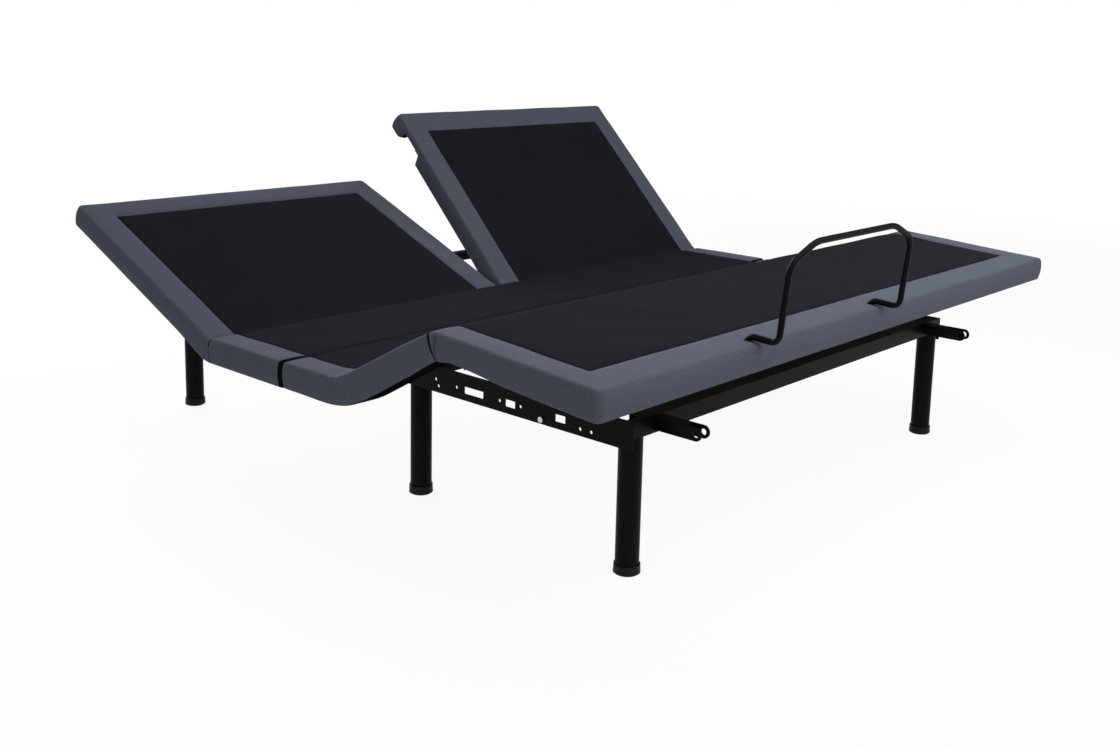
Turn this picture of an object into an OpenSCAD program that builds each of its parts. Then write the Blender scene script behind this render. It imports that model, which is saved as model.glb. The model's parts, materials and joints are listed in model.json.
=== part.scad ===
// Split-head adjustable bed base, two sleepers wide, modelled with both backs and the knees raised.
// X runs across the bed, +Y points to the head end and +Z up. The origin is on the floor,
// at the middle of the box that the raised bed fills.
// Every hinge line of the deck lies pivot_depth under the top of the padding. Deck pieces are
// drawn flat, with their own hinge line as Y = 0 and Z = 0, and are then turned to the pose.

/* [Pose] */
// Angle of the left back section above flat
left_back_angle = 22.2; // [0:0.1:62]
// Angle of the right back section above flat
right_back_angle = 45.8; // [0:0.1:62]
// Angle of the thigh section above flat
thigh_angle = 26.2; // [0:0.1:36]

/* [Deck] */
// Width of the deck
deck_w = 2000; // [1800:1:2200]
// Length of a back section, from its hinge line to the head end
back_len = 684; // [660:1:760]
// Length of the rear seat section
rear_seat_len = 309; // [290:1:380]
// Length of the front seat section
front_seat_len = 183; // [170:1:240]
// Length of the thigh section between its two hinge lines
thigh_len = 366; // [340:1:420]
// Length of the foot section, from the knee to the foot end
foot_len = 438; // [420:1:520]
// Clear space between the two back sections
split_gap = 20; // [10:1:40]
// Thickness of the wooden boards
board_t = 14; // [12:0.5:18]
// Thickness of the padding and fabric on top of the boards
pad_t = 17; // [15:0.5:22]
// Depth of the upholstered edge
border_h = 62; // [58:1:80]
// Thickness of the padding and fabric on the edges
skirt_t = 8; // [5:0.5:10]
// Thickness of the battens under the board edges
batten_t = 18; // [15:1:22]
// Space in front of the head beam where the inner edges of the backs turn thin
notch_room = 64; // [40:1:80]
// Space behind the head beam before the inner edges of the backs turn deep again
notch_end_room = 20; // [15:1:26]
// Space between the padding of the two seat sections
seat_gap = 8; // [4:0.5:12]
// Space that a moving board leaves above the rails when flat
rest_gap = 1; // [0.5:0.1:3]

/* [Hinges] */
// Depth of the hinge lines under the top of the padding
pivot_depth = 14; // [12:0.5:16]
// Radius of the hinge pins
pin_r = 5; // [4:0.5:6]
// Radial play of a pin that turns in its bore
pin_play = 0.05; // [0.02:0.01:0.1]
// Thickness of the hinge plates and of the lever plates
plate_t = 6; // [5:0.5:8]
// Space between plates that turn beside each other
plate_gap = 0.4; // [0.3:0.05:1]
// Padding left off at each side of a hinge line
fold_gap = 3; // [2.5:0.1:5]
// Distance of the inner hinges from the middle of the bed
hinge_inner_x = 110; // [90:1:150]
// Distance of the outer hinges in from the side rails' outer faces
hinge_inset = 138; // [125:1:180]

/* [Steel frame] */
// Distance of the side rails' outer faces in from the deck's sides
deck_overhang = 302; // [270:1:330]
// Height of the side rails
rail_h = 63; // [58:1:75]
// Width of the side rails' flanges, which are cut away ahead of the seat but for the leg seats
rail_flange = 40; // [35:1:50]
// Wall of the side rails
rail_t = 3; // [2:0.5:4]
// Width of the square cross beams and deck tubes
tube = 30; // [25:1:32]
// Wall of the tubes
tube_wall = 2; // [1.5:0.25:3]
// Height of the foot beam
foot_beam_h = 38; // [30:1:45]
// Width of the foot beam between the side rails' flanges
foot_beam_w = 44; // [40:1:46]
// Width of the foot beam's ends, which reach past the leg bolts to the side rails
foot_beam_end = 20; // [16:1:24]
// Distance of the beams and deck tubes from the hip and back hinge lines
beam_gap = 12; // [11:0.5:15]
// Distance of the deck tubes from the knee hinge line
knee_beam_gap = 20; // [19:0.5:26]
// Distance of the foot legs' middle from the hip hinge line
foot_leg_y = 577; // [560:1:600]
// Distance of the middle legs from the hip hinge line, towards the head
mid_leg_y = 74; // [60:1:110]
// Distance of the head legs from the hip hinge line, towards the head
head_leg_y = 1091; // [1060:1:1110]

/* [Legs] */
// Height of the rails above the floor
leg_h = 277; // [200:1:400]
// Radius of the leg tubes
leg_r = 26; // [22:0.5:28]
// Height of the plastic feet
foot_h = 22; // [16:1:40]
// Thickness of the round plates between legs and rails
leg_plate_t = 4; // [3:0.5:6]
// Radius of the bolts on top of the legs
leg_bolt_r = 5; // [4:0.5:6]

/* [Actuators] */
// Distance of the push rods under the hinge lines
lever_r = 110; // [104:1:120]
// Largest angle of the back sections
back_travel = 62; // [45:1:62]
// Largest angle of the thigh section
thigh_travel = 36; // [30:1:36]
// Radius of the push rods
rod_r = 10; // [8:0.5:11]
// Radius of the cross pins at the ends of the push rods
rod_pin_r = 6; // [5:0.5:7]
// Radius of the tubes that the push rods slide in
actuator_r = 19; // [17:0.5:22]
// Distance of the head actuators from the middle of the bed
actuator_x = 350; // [300:1:400]

/* [Foot links] */
// Distance of the links' upper pivots from the knee hinge line
link_reach = 170; // [150:1:175]
// Depth of the links' upper pivots under the knee hinge line
link_drop = 60; // [58:1:64]
// Distance of the links' lower pivots from the hip hinge line
link_base_y = 211.5; // [185:0.5:230]
// Depth of the links' lower pivots under the hip hinge line
link_base_drop = 70; // [65:0.5:75]
// Width of the link bars
link_w = 20; // [16:1:24]
// Radial play of the links' upper pivots
link_play = 1.8; // [1.5:0.1:2.5]

/* [Mattress retainer bar] */
// Radius of the bar
bar_r = 7; // [5:0.5:10]
// Length of the bar across the bed
bar_w = 531; // [400:1:700]
// Distance of the bar's middle from the middle of the bed, towards the left
bar_offset = 237; // [0:1:250]
// Height of the bar above its feet
bar_h = 212; // [150:1:260]
// Length of the sloping ends of the bar, across the bed
bar_slope_w = 90; // [60:1:120]
// Height of the sloping ends of the bar
bar_slope_h = 38; // [30:1:60]
// Distance of the bar's uprights from the foot end
bar_out = 42; // [30:1:50]
// Length of the bar's feet, between their bends
bar_foot = 77; // [76:0.5:82]
// Lean of the bar away from the mattress
bar_lean = 2; // [0:0.5:12]
// Radius of the bends at the feet, at the middle of the bar
bar_bend = 20; // [16:1:21]
// Radius of the bends from the uprights to the sloping ends
bar_shoulder = 40; // [20:1:55]
// Radius of the bends from the sloping ends to the top
bar_crown = 110; // [40:5:150]

/* [Footboard arms] */
// Distance of the arms' middle in from the side rails' outer faces
arm_inset = 85; // [70:1:130]
// Distance of the arms' tips from the middle of the foot legs
arm_reach = 145; // [100:1:180]
// Height of the arms
arm_h = 28; // [24:1:30]
// Outer width of the arms
arm_w = 32; // [28:1:40]
// Thickness of the arms' walls
arm_t = 4; // [3:0.5:5]
// Radius of the hole through each arm
arm_hole_r = 7; // [5:0.5:8]

/* [Hidden] */
$fn = 48;

steel = "#15151a";
zinc = "#b9bcc0";
wood = "#b08d62";
fabric = "#4b515e";
black_plastic = "#1c1c1f";

// Heights above the floor
rail_top = leg_h + rail_h;
hinge_z = rail_top + board_t + pad_t - pivot_depth;

// Heights from the hinge lines
rail_level = rail_top - hinge_z;
board_low = rail_level + rest_gap;
board_high = board_low + board_t;
edge_low = pivot_depth - border_h;
batten_low = edge_low + 8;
tube_low = board_low - tube;
beam_low = rail_level - tube;

// Lengths along the bed, from the hip hinge line
back_hinge_y = front_seat_len + rear_seat_len;
joint_y = front_seat_len;
knee_gain = 1.15;
knee_angle = thigh_angle * knee_gain;
foot_slope = thigh_angle - knee_angle;
knee_mitre = thigh_travel * knee_gain / 2 + 1;
frame_half = deck_w / 2 - deck_overhang;
hinge_outer_x = frame_half - hinge_inset;
arm_x = frame_half - arm_inset;
deck_tube_inset = 58;
tube_gap = 12;
foot_tube_gap = 7;
rail_inner = frame_half - rail_flange;
leg_x = frame_half - leg_r;
seat_end = seat_gap / 2;
rail_foot_end = -foot_leg_y - leg_r;
rail_head_end = head_leg_y + leg_r;
deck_tube_x = rail_inner - deck_tube_inset;
back_tube_end = head_leg_y - tube / 2 - tube_gap - back_hinge_y;
foot_tube_end = rail_foot_end + foot_beam_w + foot_tube_gap + thigh_len;
seam = 0.3;

// Push rods: half of each stroke and its length for each degree of the hinge
back_half = back_travel / 2;
thigh_half = thigh_travel / 2;
back_gain = 1.08 * lever_r * PI / 180;
thigh_gain = 1.025 * lever_r * PI / 180;
slot_play = 2;
fork_gap = rod_r + 2.3;
clevis_gap = 1;

// Where a knee or a back point lies once its section is raised
function turned(p, a) = [p[0] * cos(a) - p[1] * sin(a), p[0] * sin(a) + p[1] * cos(a)];
knee = turned([-thigh_len, 0], -thigh_angle);

// Extreme points along the bed in this pose, and the shift that puts their middle at Y = 0
bar_level = pivot_depth + bar_r + seam;
bar_rise = bar_h - bar_r;
bar_y = -foot_len - bar_out;
bar_top = [bar_y - bar_rise * tan(bar_lean), bar_level + bar_rise];
foot_extreme = knee[0] + turned(bar_top, -foot_slope)[0] - bar_r;
head_extreme = back_hinge_y + max(turned([back_len, edge_low], left_back_angle)[0],
                                  turned([back_len, edge_low], right_back_angle)[0]);
y_shift = -(foot_extreme + head_extreme) / 2;

// ---------- placing ----------

// Y from the hip hinge line, Z from the floor
module on_floor() { translate([0, y_shift, 0]) children(); }
// Y from the hip hinge line, Z from the hinge lines
module on_seat() { translate([0, y_shift, hinge_z]) children(); }
module on_back(angle) {
    translate([0, y_shift + back_hinge_y, hinge_z]) rotate([angle, 0, 0]) children();
}
module on_thigh() { on_seat() rotate([-thigh_angle, 0, 0]) children(); }
module on_foot() {
    on_thigh() translate([0, -thigh_len, 0]) rotate([knee_angle, 0, 0]) children();
}
module both_sides() { children(); mirror([1, 0, 0]) children(); }

// ---------- shared shapes ----------

// A profile drawn in Y and Z, pushed along X from x to x + w
module across(x, w) {
    translate([x, 0, 0]) rotate([90, 0, 90]) linear_extrude(w) children();
}
// A round bar along X
module rod_across(x, w, r) { translate([x, 0, 0]) rotate([0, 90, 0]) cylinder(h = w, r = r); }
module box(x, y, z) {
    translate([x[0], y[0], z[0]]) cube([x[1] - x[0], y[1] - y[0], z[1] - z[0]]);
}
// Box tube along X or Y, open at its ends
module tube_x(x, y, z) {
    difference() {
        box(x, y, z);
        box([x[0] - 1, x[1] + 1], [y[0] + tube_wall, y[1] - tube_wall],
            [z[0] + tube_wall, z[1] - tube_wall]);
    }
}
module tube_y(x, y, z) {
    difference() {
        box(x, y, z);
        box([x[0] + tube_wall, x[1] - tube_wall], [y[0] - 1, y[1] + 1],
            [z[0] + tube_wall, z[1] - tube_wall]);
    }
}

// ---------- hinges ----------

lug_r = 9;
lug_clear = 10.5;
hinge_xs = [hinge_inner_x, hinge_outer_x];
pin_reach = 2 * plate_t + plate_gap + 2;

// Hinge plate from a tube face at gap from the line; side is 1 towards the head, -1 to the foot
module lug_shape(gap, side) {
    circle(r = lug_r);
    polygon([[side * gap, tube_low + 3], [side * gap, board_low - 2],
             [side * lug_r * 0.95, lug_r * 0.3], [-side * lug_r * 0.2, -lug_r * 0.97]]);
}
// Plates with their pins, at each hinge position given
module pinned_lugs(gap, side, positions) {
    for (x = positions) {
        across(x, plate_t) lug_shape(gap, side);
        rod_across(x, pin_reach, pin_r);
    }
}
// Plates with the bores that the pins turn in
module bored_lugs(gap, side, positions) {
    for (x = positions)
        difference() {
            across(x + plate_t + plate_gap, plate_t) lug_shape(gap, side);
            rod_across(x - 1, pin_reach + 2, pin_r + pin_play);
        }
}
// Room for the hinge plates in boards and padding
module hinge_pockets(gap, positions) {
    for (x = positions) {
        rod_across(x - 2, pin_reach + 4, lug_clear);
        box([x - 2, x + pin_reach + 2], [-gap - 1.5, gap + 1.5], [edge_low - 1, 0]);
    }
}
left_half = [-hinge_outer_x - pin_reach, -hinge_inner_x - pin_reach];
right_half = [hinge_inner_x, hinge_outer_x];
full_line = concat(left_half, right_half);

// ---------- deck sections ----------

// Sheet of plywood
module board(x, y, low, gap, pockets) {
    color(wood) difference() {
        box(x, y, [low, low + board_t]);
        for (s = pockets) translate([0, s, 0]) hinge_pockets(gap, full_line);
    }
}

// Outline of a side edge in Y and Z, mitred under the knee line where asked
function edge_outline(y0, y1, low, high, mitre0, mitre1) = [
    [y0 - high * tan(mitre0), high], [y0 - low * tan(mitre0), low],
    [y1 + low * tan(mitre1), low], [y1 + high * tan(mitre1), high]
];

// Padding: a top sheet with rounded edges at the fold lines, and side skirts
module padding_top(x, y, round0, round1, low = board_high) {
    r = pivot_depth;
    across(x[0], x[1] - x[0]) intersection() {
        translate([y[0], low]) square([y[1] - y[0], pivot_depth - low]);
        union() {
            translate([y[0], low]) square([y[1] - y[0], -low]);
            translate([y[0] + (round0 ? r : 0), 0])
                square([y[1] - y[0] - (round0 ? r : 0) - (round1 ? r : 0), r]);
            if (round0) translate([y[0] + r, 0]) circle(r = r);
            if (round1) translate([y[1] - r, 0]) circle(r = r);
        }
    }
}
module side_skirt(x, outline) { across(x, skirt_t) polygon(outline); }

// ---------- back sections ----------

half_w = deck_w / 2;
inner_x = split_gap / 2;
back_y = [fold_gap, back_len];
// The inner edges of the backs are thin between these lines, to lie over the head beam
notch_y = head_leg_y - tube / 2 - back_hinge_y - notch_room;
notch_end_y = head_leg_y + tube / 2 - back_hinge_y + notch_end_room;

module back_board() {
    board([inner_x + skirt_t, half_w - skirt_t], [fold_gap, back_len - skirt_t], board_low,
          beam_gap, [0]);
}
module back_battens() {
    side_y = [fold_gap, back_len - skirt_t];
    z = [batten_low, board_low];
    color(wood) {
        box([half_w - skirt_t - batten_t, half_w - skirt_t], side_y, z);
        for (y = [[fold_gap, notch_y - skirt_t], [notch_end_y + skirt_t, back_len - skirt_t]])
            box([inner_x + skirt_t, inner_x + skirt_t + batten_t], y, z);
        box([inner_x + skirt_t + batten_t + seam, half_w - skirt_t - batten_t - seam],
            [back_len - skirt_t - batten_t, back_len - skirt_t], z);
    }
}
module back_cover() {
    color(fabric) difference() {
        union() {
            padding_top([inner_x, half_w], back_y, true, false);
            side_skirt(half_w - skirt_t,
                       edge_outline(fold_gap, back_len, edge_low, board_high, 0, 0));
            for (y = [[fold_gap, notch_y], [notch_end_y, back_len]])
                side_skirt(inner_x, edge_outline(y[0], y[1], edge_low, board_high, 0, 0));
            side_skirt(inner_x, edge_outline(notch_y, notch_end_y, board_low, board_high, 0, 0));
            box([inner_x, half_w], [back_len - skirt_t, back_len], [edge_low, board_high]);
        }
        hinge_pockets(beam_gap, full_line);
    }
}
back_tube_x = [inner_x + skirt_t + batten_t + tube_gap, deck_tube_x];
module back_side_tubes() {
    color(steel) for (x = back_tube_x)
        tube_y([x, x + tube], [beam_gap, back_tube_end], [tube_low, board_low]);
}
module back_cross_tubes() {
    color(steel) for (y = [beam_gap, back_tube_end - tube])
        tube_x([back_tube_x[0] + tube, back_tube_x[1]], [y, y + tube], [tube_low, board_low]);
}

// ---------- levers ----------

// Slot outline of radius r along -Y, between the distances near and far
module slot_outline(r, near, far) {
    for (y = [near, far]) translate([0, -y]) circle(r = r);
    translate([-r, -far]) square([2 * r, far - near]);
}
// Lever plate under a section that rises towards side, for a hinge that turns by 2 * half
slot_r = rod_pin_r + slot_play;
lever_edge = 10;
module lever_shape(half, side) {
    reach = lever_r / cos(half);
    turn = -side * half;
    edge = slot_r + lever_edge;
    flank = 0.9 * edge;
    function at(r, off) = turned([side * off, -r], turn);
    difference() {
        union() {
            rotate(turn) slot_outline(edge, lever_r, reach);
            polygon([[side * beam_gap, tube_low], [side * (beam_gap + tube), tube_low],
                     at(reach, flank), at(reach, 0), at(lever_r, -flank)]);
        }
        rotate(turn) slot_outline(slot_r, lever_r, reach);
    }
}
module lever_fork(x, half, side) {
    for (s = [x - fork_gap - plate_t, x + fork_gap])
        across(s, plate_t) lever_shape(half, side);
}

// ---------- actuators ----------

// Actuator along +Y from its rear eye, with the motor towards side
gearbox = [70, 85, 62];
gearbox_start = 16;
motor_r = 29;
motor_len = 125;
eye_r = 13;
eye_w = 24;
collar = [3, 14];
back_pin_flat = back_hinge_y - back_gain * back_half;
thigh_pin_flat = thigh_gain * thigh_half;
back_clevis_y = beam_gap + tube + eye_r + 11;
foot_clevis_y = back_hinge_y - beam_gap - tube - eye_r - 11;
rod_overlap = 45;
bore_room = 75;

module actuator(to_pin, side, stroke) {
    tube_end = to_pin - rod_overlap;
    bore_start = max(gearbox_start + gearbox[1] + 5, tube_end - stroke - bore_room);
    color(black_plastic) difference() {
        union() {
            rod_across(-eye_w / 2, eye_w, eye_r);
            box([-eye_w / 2, eye_w / 2], [0, gearbox_start + 4], [-eye_r, eye_r]);
            translate([0, gearbox_start, 0]) rotate([-90, 0, 0]) linear_extrude(gearbox[1])
                rounded(gearbox[0], gearbox[2], 12);
            translate([side > 0 ? 0 : -gearbox[0] / 2 - motor_len,
                       gearbox_start + gearbox[1] / 2, 0])
                rod_across(0, gearbox[0] / 2 + motor_len, motor_r);
            translate([0, gearbox_start + 4, 0]) rotate([-90, 0, 0])
                cylinder(h = tube_end - gearbox_start - 4, r = actuator_r);
            translate([0, tube_end - collar[1], 0]) rotate([-90, 0, 0])
                cylinder(h = collar[1], r = actuator_r + collar[0]);
        }
        rod_across(-eye_w, 2 * eye_w, rod_pin_r + pin_play);
        translate([0, bore_start, 0]) rotate([-90, 0, 0])
            cylinder(h = to_pin, r = rod_r + 0.3);
    }
}
module rounded(w, h, r) {
    square([w - 2 * r, h], center = true);
    square([w, h - 2 * r], center = true);
    for (x = [-1, 1], y = [-1, 1]) translate([x * (w / 2 - r), y * (h / 2 - r)]) circle(r = r);
}
// Push rod along +Y that ends in its cross pin at Y = 0
module push_rod(stroke) {
    rod_len = rod_overlap + stroke + 40;
    pin_len = 2 * (fork_gap + plate_t) + 5;
    color(zinc) union() {
        translate([0, -rod_len, 0]) rotate([-90, 0, 0]) cylinder(h = rod_len + 9, r = rod_r);
        rod_across(-pin_len / 2, pin_len, rod_pin_r);
    }
}
back_stroke = back_gain * back_travel;
thigh_stroke = thigh_gain * thigh_travel;
// Height of the push rods from the hinge lines
rod_level = -lever_r;

// ---------- nodes: frame ----------

bolt_r = 4;
// Places on the side rails from the foot leg, and heights from the rail's lower edge
rail_holes = [[87, 15], [118, 15], [294, 25], [359, 25], [500, 26], [562, 16], [571, 31]];
rail_hole_r = 4;
rail_slots = [[160, 30, 24], [310, 31, 24], [411, 63, 25]];
rail_slot_h = 17;
link_bolt = [229, 11];
link_bolt_y = link_bolt[0] - foot_leg_y;
link_bolt_z = link_bolt[1];
splice_half = 60;
splice_bolt_ys = [joint_y - 40, joint_y - 15, joint_y + 15, joint_y + 40];

// Upright web on the right-hand side, with top and bottom flanges inwards over the given lengths
module rail(y0, y1, tops, bottoms) {
    difference() {
        union() {
            box([frame_half - rail_t, frame_half], [y0, y1], [leg_h, rail_top]);
            for (y = tops)
                box([rail_inner, frame_half], y, [rail_top - rail_t, rail_top]);
            for (y = bottoms) box([rail_inner, frame_half], y, [leg_h, leg_h + rail_t]);
            children();
        }
        for (y = splice_bolt_ys) bolt_hole(y, leg_h + rail_h / 2);
        for (y = [-foot_leg_y, mid_leg_y, head_leg_y])
            translate([leg_x, y, leg_h - 1])
                cylinder(h = rail_t + 2, r = leg_bolt_r + pin_play);
    }
}
module bolt_hole(y, z) {
    translate([0, y, z]) rod_across(frame_half - 2 * rail_t - 1, 2 * rail_t + 2, bolt_r + 0.3);
}
// Round seat of the foot leg, open at the top, which reaches up to the foot beam
module leg_seat() {
    intersection() {
        translate([leg_x, -foot_leg_y, leg_h]) difference() {
            cylinder(h = rail_h - foot_beam_h, r = leg_r);
            translate([0, 0, rail_t]) cylinder(h = rail_h, r = leg_r - leg_wall);
        }
        box([0, frame_half - rail_t / 2], [rail_foot_end - 1, 0], [leg_h - 1, rail_top]);
    }
}
module foot_rail() {
    color(steel) difference() {
        rail(rail_foot_end, joint_y - seam / 2, [[fold_gap, joint_y - seam / 2]],
             [[mid_leg_y - leg_r, joint_y - seam / 2]])
            leg_seat();
        for (h = rail_holes) translate([0, h[0] - foot_leg_y, leg_h + h[1]])
            rod_across(frame_half - rail_t - 1, rail_t + 2, rail_hole_r);
        for (s = rail_slots)
            box([frame_half - rail_t - 1, frame_half + 1],
                [s[0] - foot_leg_y, s[0] + s[1] - foot_leg_y],
                [leg_h + s[2] - rail_slot_h / 2, leg_h + s[2] + rail_slot_h / 2]);
        bolt_hole(link_bolt_y, leg_h + link_bolt_z);
    }
}
module foot_rail_right() { on_floor() foot_rail(); }
module foot_rail_left() { on_floor() mirror([1, 0, 0]) foot_rail(); }
module head_rail() {
    y = [joint_y + seam / 2, rail_head_end];
    color(steel) rail(y[0], y[1], [y], [y]);
}
module head_rail_right() { on_floor() head_rail(); }
module head_rail_left() { on_floor() mirror([1, 0, 0]) head_rail(); }

module splice_plates() {
    color(steel) on_floor() both_sides() difference() {
        box([frame_half - 2 * rail_t - 1, frame_half - rail_t],
            [joint_y - splice_half, joint_y + splice_half],
            [leg_h + rail_t + 1, rail_top - rail_t - 1]);
        for (y = splice_bolt_ys) bolt_hole(y, leg_h + rail_h / 2);
    }
}
// Hexagon-headed bolts through the rails from outside
module frame_bolt(y, z, reach) {
    translate([0, y, z]) {
        rod_across(frame_half - reach, reach, bolt_r);
        translate([frame_half, 0, 0]) rotate([0, 90, 0]) cylinder(h = 5, r = 7.5, $fn = 6);
    }
}
module frame_bolts() {
    color(zinc) on_floor() both_sides() {
        for (y = splice_bolt_ys) frame_bolt(y, leg_h + rail_h / 2, 2 * rail_t + 6);
        frame_bolt(link_bolt_y, leg_h + link_bolt_z, rail_t + 8);
    }
}
// Wide tube that turns into narrow tabs at its ends, closed towards the foot end
module foot_beam() {
    z = [rail_top - foot_beam_h, rail_top];
    web = frame_half - rail_t;
    wide_end = rail_foot_end + foot_beam_w;
    color(steel) on_floor() difference() {
        union() {
            box([-web, web], [rail_foot_end, rail_foot_end + foot_beam_end], z);
            box([-rail_inner, rail_inner], [rail_foot_end, wide_end], z);
        }
        box([-web - 1, web + 1],
            [rail_foot_end + tube_wall, rail_foot_end + foot_beam_end - tube_wall],
            [z[0] + tube_wall, z[1] - tube_wall]);
        box([-rail_inner + tube_wall, rail_inner - tube_wall],
            [rail_foot_end + tube_wall, wide_end - tube_wall],
            [z[0] + tube_wall, z[1] - tube_wall]);
    }
}
module cross_beam(y) {
    color(steel) on_floor()
        tube_x([-rail_inner, rail_inner], [y - tube / 2, y + tube / 2], [rail_top - tube, rail_top]);
}
module hip_beam() { cross_beam(beam_gap + tube / 2); }
module back_hinge_beam() { cross_beam(back_hinge_y - beam_gap - tube / 2); }
module head_beam() { cross_beam(head_leg_y); }

leg_positions = [for (x = [-leg_x, leg_x], y = [-foot_leg_y, mid_leg_y, head_leg_y]) [x, y]];
leg_top = leg_h - leg_plate_t;
leg_wall = 2;
leg_cap = 6;
foot_floor = 5;
foot_wall = 2.5;
foot_flare = 1;
foot_edge = 3;
module each_leg() { on_floor() for (p = leg_positions) translate([p[0], p[1], 0]) children(); }
module legs() {
    color(steel) each_leg() difference() {
        translate([0, 0, foot_floor]) cylinder(h = leg_top - foot_floor, r = leg_r);
        translate([0, 0, foot_floor - 1])
            cylinder(h = leg_top - foot_floor - leg_cap + 1, r = leg_r - leg_wall);
        cylinder(h = leg_top + 1, r = leg_bolt_r + pin_play);
    }
}
module leg_feet() {
    rim = leg_r + foot_wall;
    color(black_plastic) each_leg() rotate_extrude()
        polygon([[0, 0], [rim - foot_edge, 0], [rim + foot_flare, foot_edge], [rim, foot_h],
                 [leg_r, foot_h], [leg_r, foot_floor], [0, foot_floor]]);
}
module leg_plates() {
    color(steel) each_leg() translate([0, 0, leg_top]) difference() {
        cylinder(h = leg_plate_t, r = leg_r);
        translate([0, 0, -1]) cylinder(h = leg_plate_t + 2, r = leg_bolt_r + pin_play);
    }
}
module leg_bolts() {
    color(zinc) each_leg() {
        translate([0, 0, leg_top - leg_cap - 10])
            cylinder(h = leg_cap + leg_plate_t + rail_t + 22, r = leg_bolt_r);
        translate([0, 0, leg_h + rail_t]) cylinder(h = 8, r = 8.5, $fn = 6);
    }
}

// U-shaped arms with round tips, welded to the foot beam
arm_top = rail_top - 3;
arm_root = rail_foot_end;
arm_tip = -foot_leg_y - arm_reach;
arm_hole_y = arm_tip + arm_h / 2;
module arm_side() {
    difference() {
        union() {
            translate([arm_hole_y, arm_top - arm_h / 2]) circle(r = arm_h / 2);
            translate([arm_hole_y, arm_top - arm_h]) square([arm_root - arm_hole_y, arm_h]);
        }
        translate([arm_hole_y, arm_top - arm_h / 2]) circle(r = arm_hole_r);
    }
}
module footboard_arms() {
    color(steel) on_floor() both_sides() {
        for (x = [arm_x - arm_w / 2, arm_x + arm_w / 2 - arm_t]) across(x, arm_t) arm_side();
        box([arm_x - arm_w / 2, arm_x + arm_w / 2], [arm_hole_y + arm_h, arm_root],
            [arm_top - arm_t, arm_top]);
    }
}

module hip_hinge_lugs() {
    color(steel) on_seat() pinned_lugs(beam_gap, 1, full_line);
}
module back_hinge_lugs() {
    color(steel) translate([0, back_hinge_y, 0]) on_seat() pinned_lugs(beam_gap, -1, full_line);
}

// Flat bars from the rails that carry the foot links, beside the deck's side tubes
link_t = 6;
link_gap = 1;
link_x = deck_tube_x - plate_t - link_gap - link_t;
link_pin_r = 6;
bracket_t = 5;
bracket_r = 12;
bracket_bar = [24, 10];
module link_brackets() {
    near = link_x + link_t + link_gap;
    bar_high = tube_low - 2;
    bar_low = bar_high - bracket_bar[1];
    color(steel) on_seat() both_sides() translate([0, -link_base_y, 0]) {
        box([near, frame_half - rail_t], [bracket_r, bracket_r + bracket_bar[0]],
            [bar_low, bar_high]);
        across(near, bracket_t) {
            translate([0, -link_base_drop]) circle(r = bracket_r);
            translate([0, -link_base_drop - bracket_r]) square(bracket_r);
            translate([-bracket_r, -link_base_drop])
                square([2 * bracket_r, bar_low + link_base_drop + 1]);
            translate([bracket_r - 1, -link_base_drop - bracket_r])
                square([bracket_bar[0] + 1, bar_low + link_base_drop + bracket_r + 1]);
        }
        translate([0, 0, -link_base_drop])
            rod_across(link_x - 2, near - link_x + 3, link_pin_r);
    }
}

// Hanging clevises for the actuators' rear eyes, welded to a beam face at face_y
clevis_plate_r = 14;
module clevis(x, face_y, pin_y) {
    toward = sign(face_y - pin_y);
    half = eye_w / 2 + clevis_gap;
    for (s = [x - half - plate_t, x + half]) across(s, plate_t) {
        translate([pin_y, rod_level]) circle(r = clevis_plate_r);
        polygon([[face_y, rail_level - 2], [face_y, beam_low + 1],
                 [pin_y + toward * clevis_plate_r, rod_level],
                 [pin_y - toward * clevis_plate_r, rod_level],
                 [face_y - toward * 12, rail_level - 2]]);
    }
    translate([0, pin_y, rod_level])
        rod_across(x - half - plate_t - 2, 2 * (half + plate_t + 2), rod_pin_r);
}
module actuator_brackets() {
    color(steel) on_seat() {
        for (x = [-actuator_x, actuator_x]) clevis(x, beam_gap + tube, back_clevis_y);
        clevis(0, back_hinge_y - beam_gap - tube, foot_clevis_y);
    }
}
module back_actuator(x, side) {
    on_seat() translate([x, back_clevis_y, rod_level])
        actuator(back_pin_flat - back_clevis_y, side, back_stroke);
}
module left_actuator() { back_actuator(-actuator_x, 1); }
module right_actuator() { back_actuator(actuator_x, -1); }
module foot_actuator() {
    on_seat() translate([0, foot_clevis_y, rod_level]) rotate([0, 0, 180])
        actuator(foot_clevis_y - thigh_pin_flat, -1, thigh_stroke);
}
module back_rod(x, angle) {
    on_seat() translate([x, back_pin_flat + back_gain * angle, rod_level]) push_rod(back_stroke);
}
module left_rod() { back_rod(-actuator_x, left_back_angle); }
module right_rod() { back_rod(actuator_x, right_back_angle); }
module foot_rod() {
    on_seat() translate([0, thigh_pin_flat - thigh_gain * thigh_angle, rod_level])
        rotate([0, 0, 180]) push_rod(thigh_stroke);
}

// ---------- nodes: seat ----------

seat_x = [-half_w + skirt_t, half_w - skirt_t];
module rear_seat_board() {
    on_seat() board(seat_x, [joint_y + seat_end + 2, back_hinge_y - fold_gap], rail_level,
                    beam_gap, [back_hinge_y]);
}
module front_seat_board() {
    on_seat() board(seat_x, [fold_gap, joint_y - seat_end - 2], rail_level, beam_gap, [0]);
}
module seat_battens() {
    color(wood) on_seat() both_sides()
        for (y = [[fold_gap, joint_y - seat_end - 2],
                  [joint_y + seat_end + 2, back_hinge_y - fold_gap]])
            box([half_w - skirt_t - batten_t, half_w - skirt_t], y, [batten_low, rail_level]);
}
module seat_cover(y, round0, round1, pocket) {
    low = rail_level + board_t;
    color(fabric) on_seat() difference() {
        union() {
            padding_top([-half_w, half_w], y, round0, round1, low);
            for (x = [-half_w, half_w - skirt_t])
                side_skirt(x, edge_outline(y[0], y[1], edge_low, low, 0, 0));
        }
        translate([0, pocket, 0]) hinge_pockets(beam_gap, full_line);
    }
}
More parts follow.
